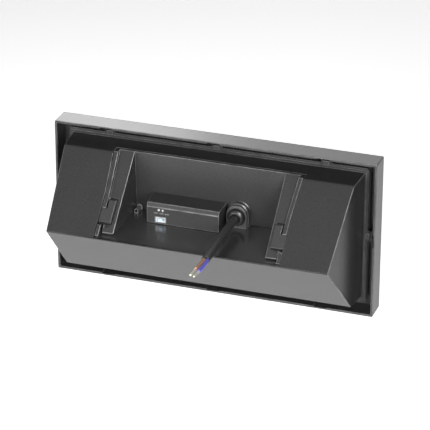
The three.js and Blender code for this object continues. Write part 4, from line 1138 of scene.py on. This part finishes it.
seal = turned("cable_seal", seal_profile, gland_x, cable_z, 64, "joined")
fitted(seal, "case", "silicone", seal_foam, "gland_seal")

# Breather: a small arch-topped peg in the niche's corner, with a collar at the wall and a
# bore in its end that a vent plug fills.
# The peg's pale grey tone, paler than the other mouldings, is a painted highlight standing in for
# its bright front ring.
vent_plastic_highlit = moulded("vent_plastic_highlit", (0.14, 0.14, 0.141), 0.24, (0.0006, 0.00001), rub_and_highlight=1.0)
breather = softened("vent_boss", "breather_peg", 0.0003, segments=3)
fitted(breather, "case", "shell", vent_plastic_highlit, "vent_boss")
plug_profile = [(0.05, 11.3), (0.8, 11.3), (0.8, 13.6), (0.7, 13.8), (0.3, 13.86), (0.05, 13.87)]
plug = turned("breather_plug", plug_profile, 67.2, 3.5, 32)
fitted(plug, "case", "silicone", seal_foam, "vent_plug")

# Light plate: a white powder-coated steel sheet that carries three white boards, each with
# a row of light emitters. Flat links join the boards, and two leads come from the driver.
powder_coat = moulded(
    "powder_coat", (0.84, 0.84, 0.82), 0.5, (0.0009, 0.00003), drift=0.04, rub_and_highlight=0.1
)
light_plate = softened("led_plate", "light_plate", 0.0003)
fitted(light_plate, "case", "white_coat", powder_coat, "led_plate")
phosphor = moulded("phosphor", (0.85, 0.62, 0.12), 0.55, (0.0003, 0.00001), drift=0.1)
package_white = moulded("package_white", (0.85, 0.85, 0.83), 0.4, (0.0003, 0.000004), drift=0.03)


def emitter_tree():
    """Geometry Nodes that add a row of emitter packages to a board: body, lens and pads."""
    tree, given, result = new_group(
        "emitter_row",
        [
            ("Board", solid, None),
            ("Count", "NodeSocketInt", 12),
            ("Pitch", number, 0.02),
            ("Row Start", vector, (0, 0, 0)),
            ("Body Size", vector, (0.0035, 0.0008, 0.0028)),
            ("Board Finish", finish, None),
            ("Body Finish", finish, None),
            ("Lens Finish", finish, None),
            ("Pad Finish", finish, None),
        ],
        [("Strip", solid)],
        "GeometryNodeTree",
    )

    def coated(shape, coat, inputs):
        coating = {"Geometry": shape, "Material": coat, **inputs}
        return add_node(tree, "GeometryNodeSetMaterial", coating).outputs[0]

    blocks = []
    for share, shift, name in [
        ((1, 1, 1), (0, 0, 0), "Body Finish"),
        ((0.72, 0.5, 0.72), (0, -0.00029, 0), "Lens Finish"),
        ((1.25, 0.3, 0.8), (0, 0.0003, 0), "Pad Finish"),
    ]:
        sized = {0: given["Body Size"], 1: share}
        size = add_node(tree, "ShaderNodeVectorMath", sized, operation="MULTIPLY").outputs[0]
        block = add_node(tree, "GeometryNodeMeshCube", {"Size": size}).outputs[0]
        place = {"Geometry": block, "Translation": shift}
        moved = add_node(tree, "GeometryNodeTransform", place).outputs[0]
        blocks.append(coated(moved, given[name], {}))
    spacing = add_node(tree, "ShaderNodeCombineXYZ", {0: given["Pitch"]}).outputs[0]
    line = {"Count": given["Count"], "Start Location": given["Row Start"], "Offset": spacing}
    row = add_node(tree, "GeometryNodeMeshLine", line).outputs[0]
    packages = {"Points": row, "Instance": joined(tree, *blocks)}
    placed = add_node(tree, "GeometryNodeInstanceOnPoints", packages).outputs[0]
    marked = add_node(
        tree,
        "GeometryNodeStoreNamedAttribute",
        {"Geometry": given["Board"], "Name": "board", "Value": True},
        data_type="BOOLEAN",
        domain="FACE",
    ).outputs[0]
    whole = joined(tree, placed, marked)
    real = add_node(tree, "GeometryNodeRealizeInstances", {0: whole}).outputs[0]
    on_board = add_node(
        tree, "GeometryNodeInputNamedAttribute", {"Name": "board"}, data_type="BOOLEAN"
    ).outputs["Attribute"]
    feed(tree, result, {0: coated(real, given["Board Finish"], {"Selection": on_board})})
    return tree


emitters = emitter_tree()
strip_finishes = {
    "Board Finish": board_white,
    "Body Finish": package_white,
    "Lens Finish": phosphor,
    "Pad Finish": zinc,
}
# In mm, in the case's drawing: the boards' half sizes and faces, and each row's first emitter.
board_half_x, board_half_z = 125.4, 6
board_face_y, plate_face_y = -4.3, -3.1
first_emitter_x, emitter_y = -110, -4.7
for place, z in (("bottom", -37.8), ("middle", 0.0), ("top", 37.8)):
    low = mm(-board_half_x, board_face_y, z - board_half_z)
    high = mm(board_half_x, plate_face_y, z + board_half_z)
    board_mesh = bpy.data.meshes.new(f"emitter_strip_{place}")
    board_shape = bmesh.new()
    board_box = Matrix.Translation((low + high) / 2) @ Matrix.Diagonal((*(high - low), 1))
    bmesh.ops.create_cube(board_shape, size=1, matrix=board_box)
    edges = board_shape.edges[:]
    bmesh.ops.bevel(board_shape, geom=edges, offset=0.00015, segments=1, affect="EDGES")
    board_shape.to_mesh(board_mesh)
    board_shape.free()
    values = {"Row Start": tuple(mm(first_emitter_x, emitter_y, z)), **strip_finishes}
    strip = grown(f"emitter_strip_{place}", board_mesh, emitters, values)
    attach(strip, "case")
    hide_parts(f"led_strip_{place}")
for node in ("strip_link_lower", "strip_link_upper"):
    dressed(node, board_white)
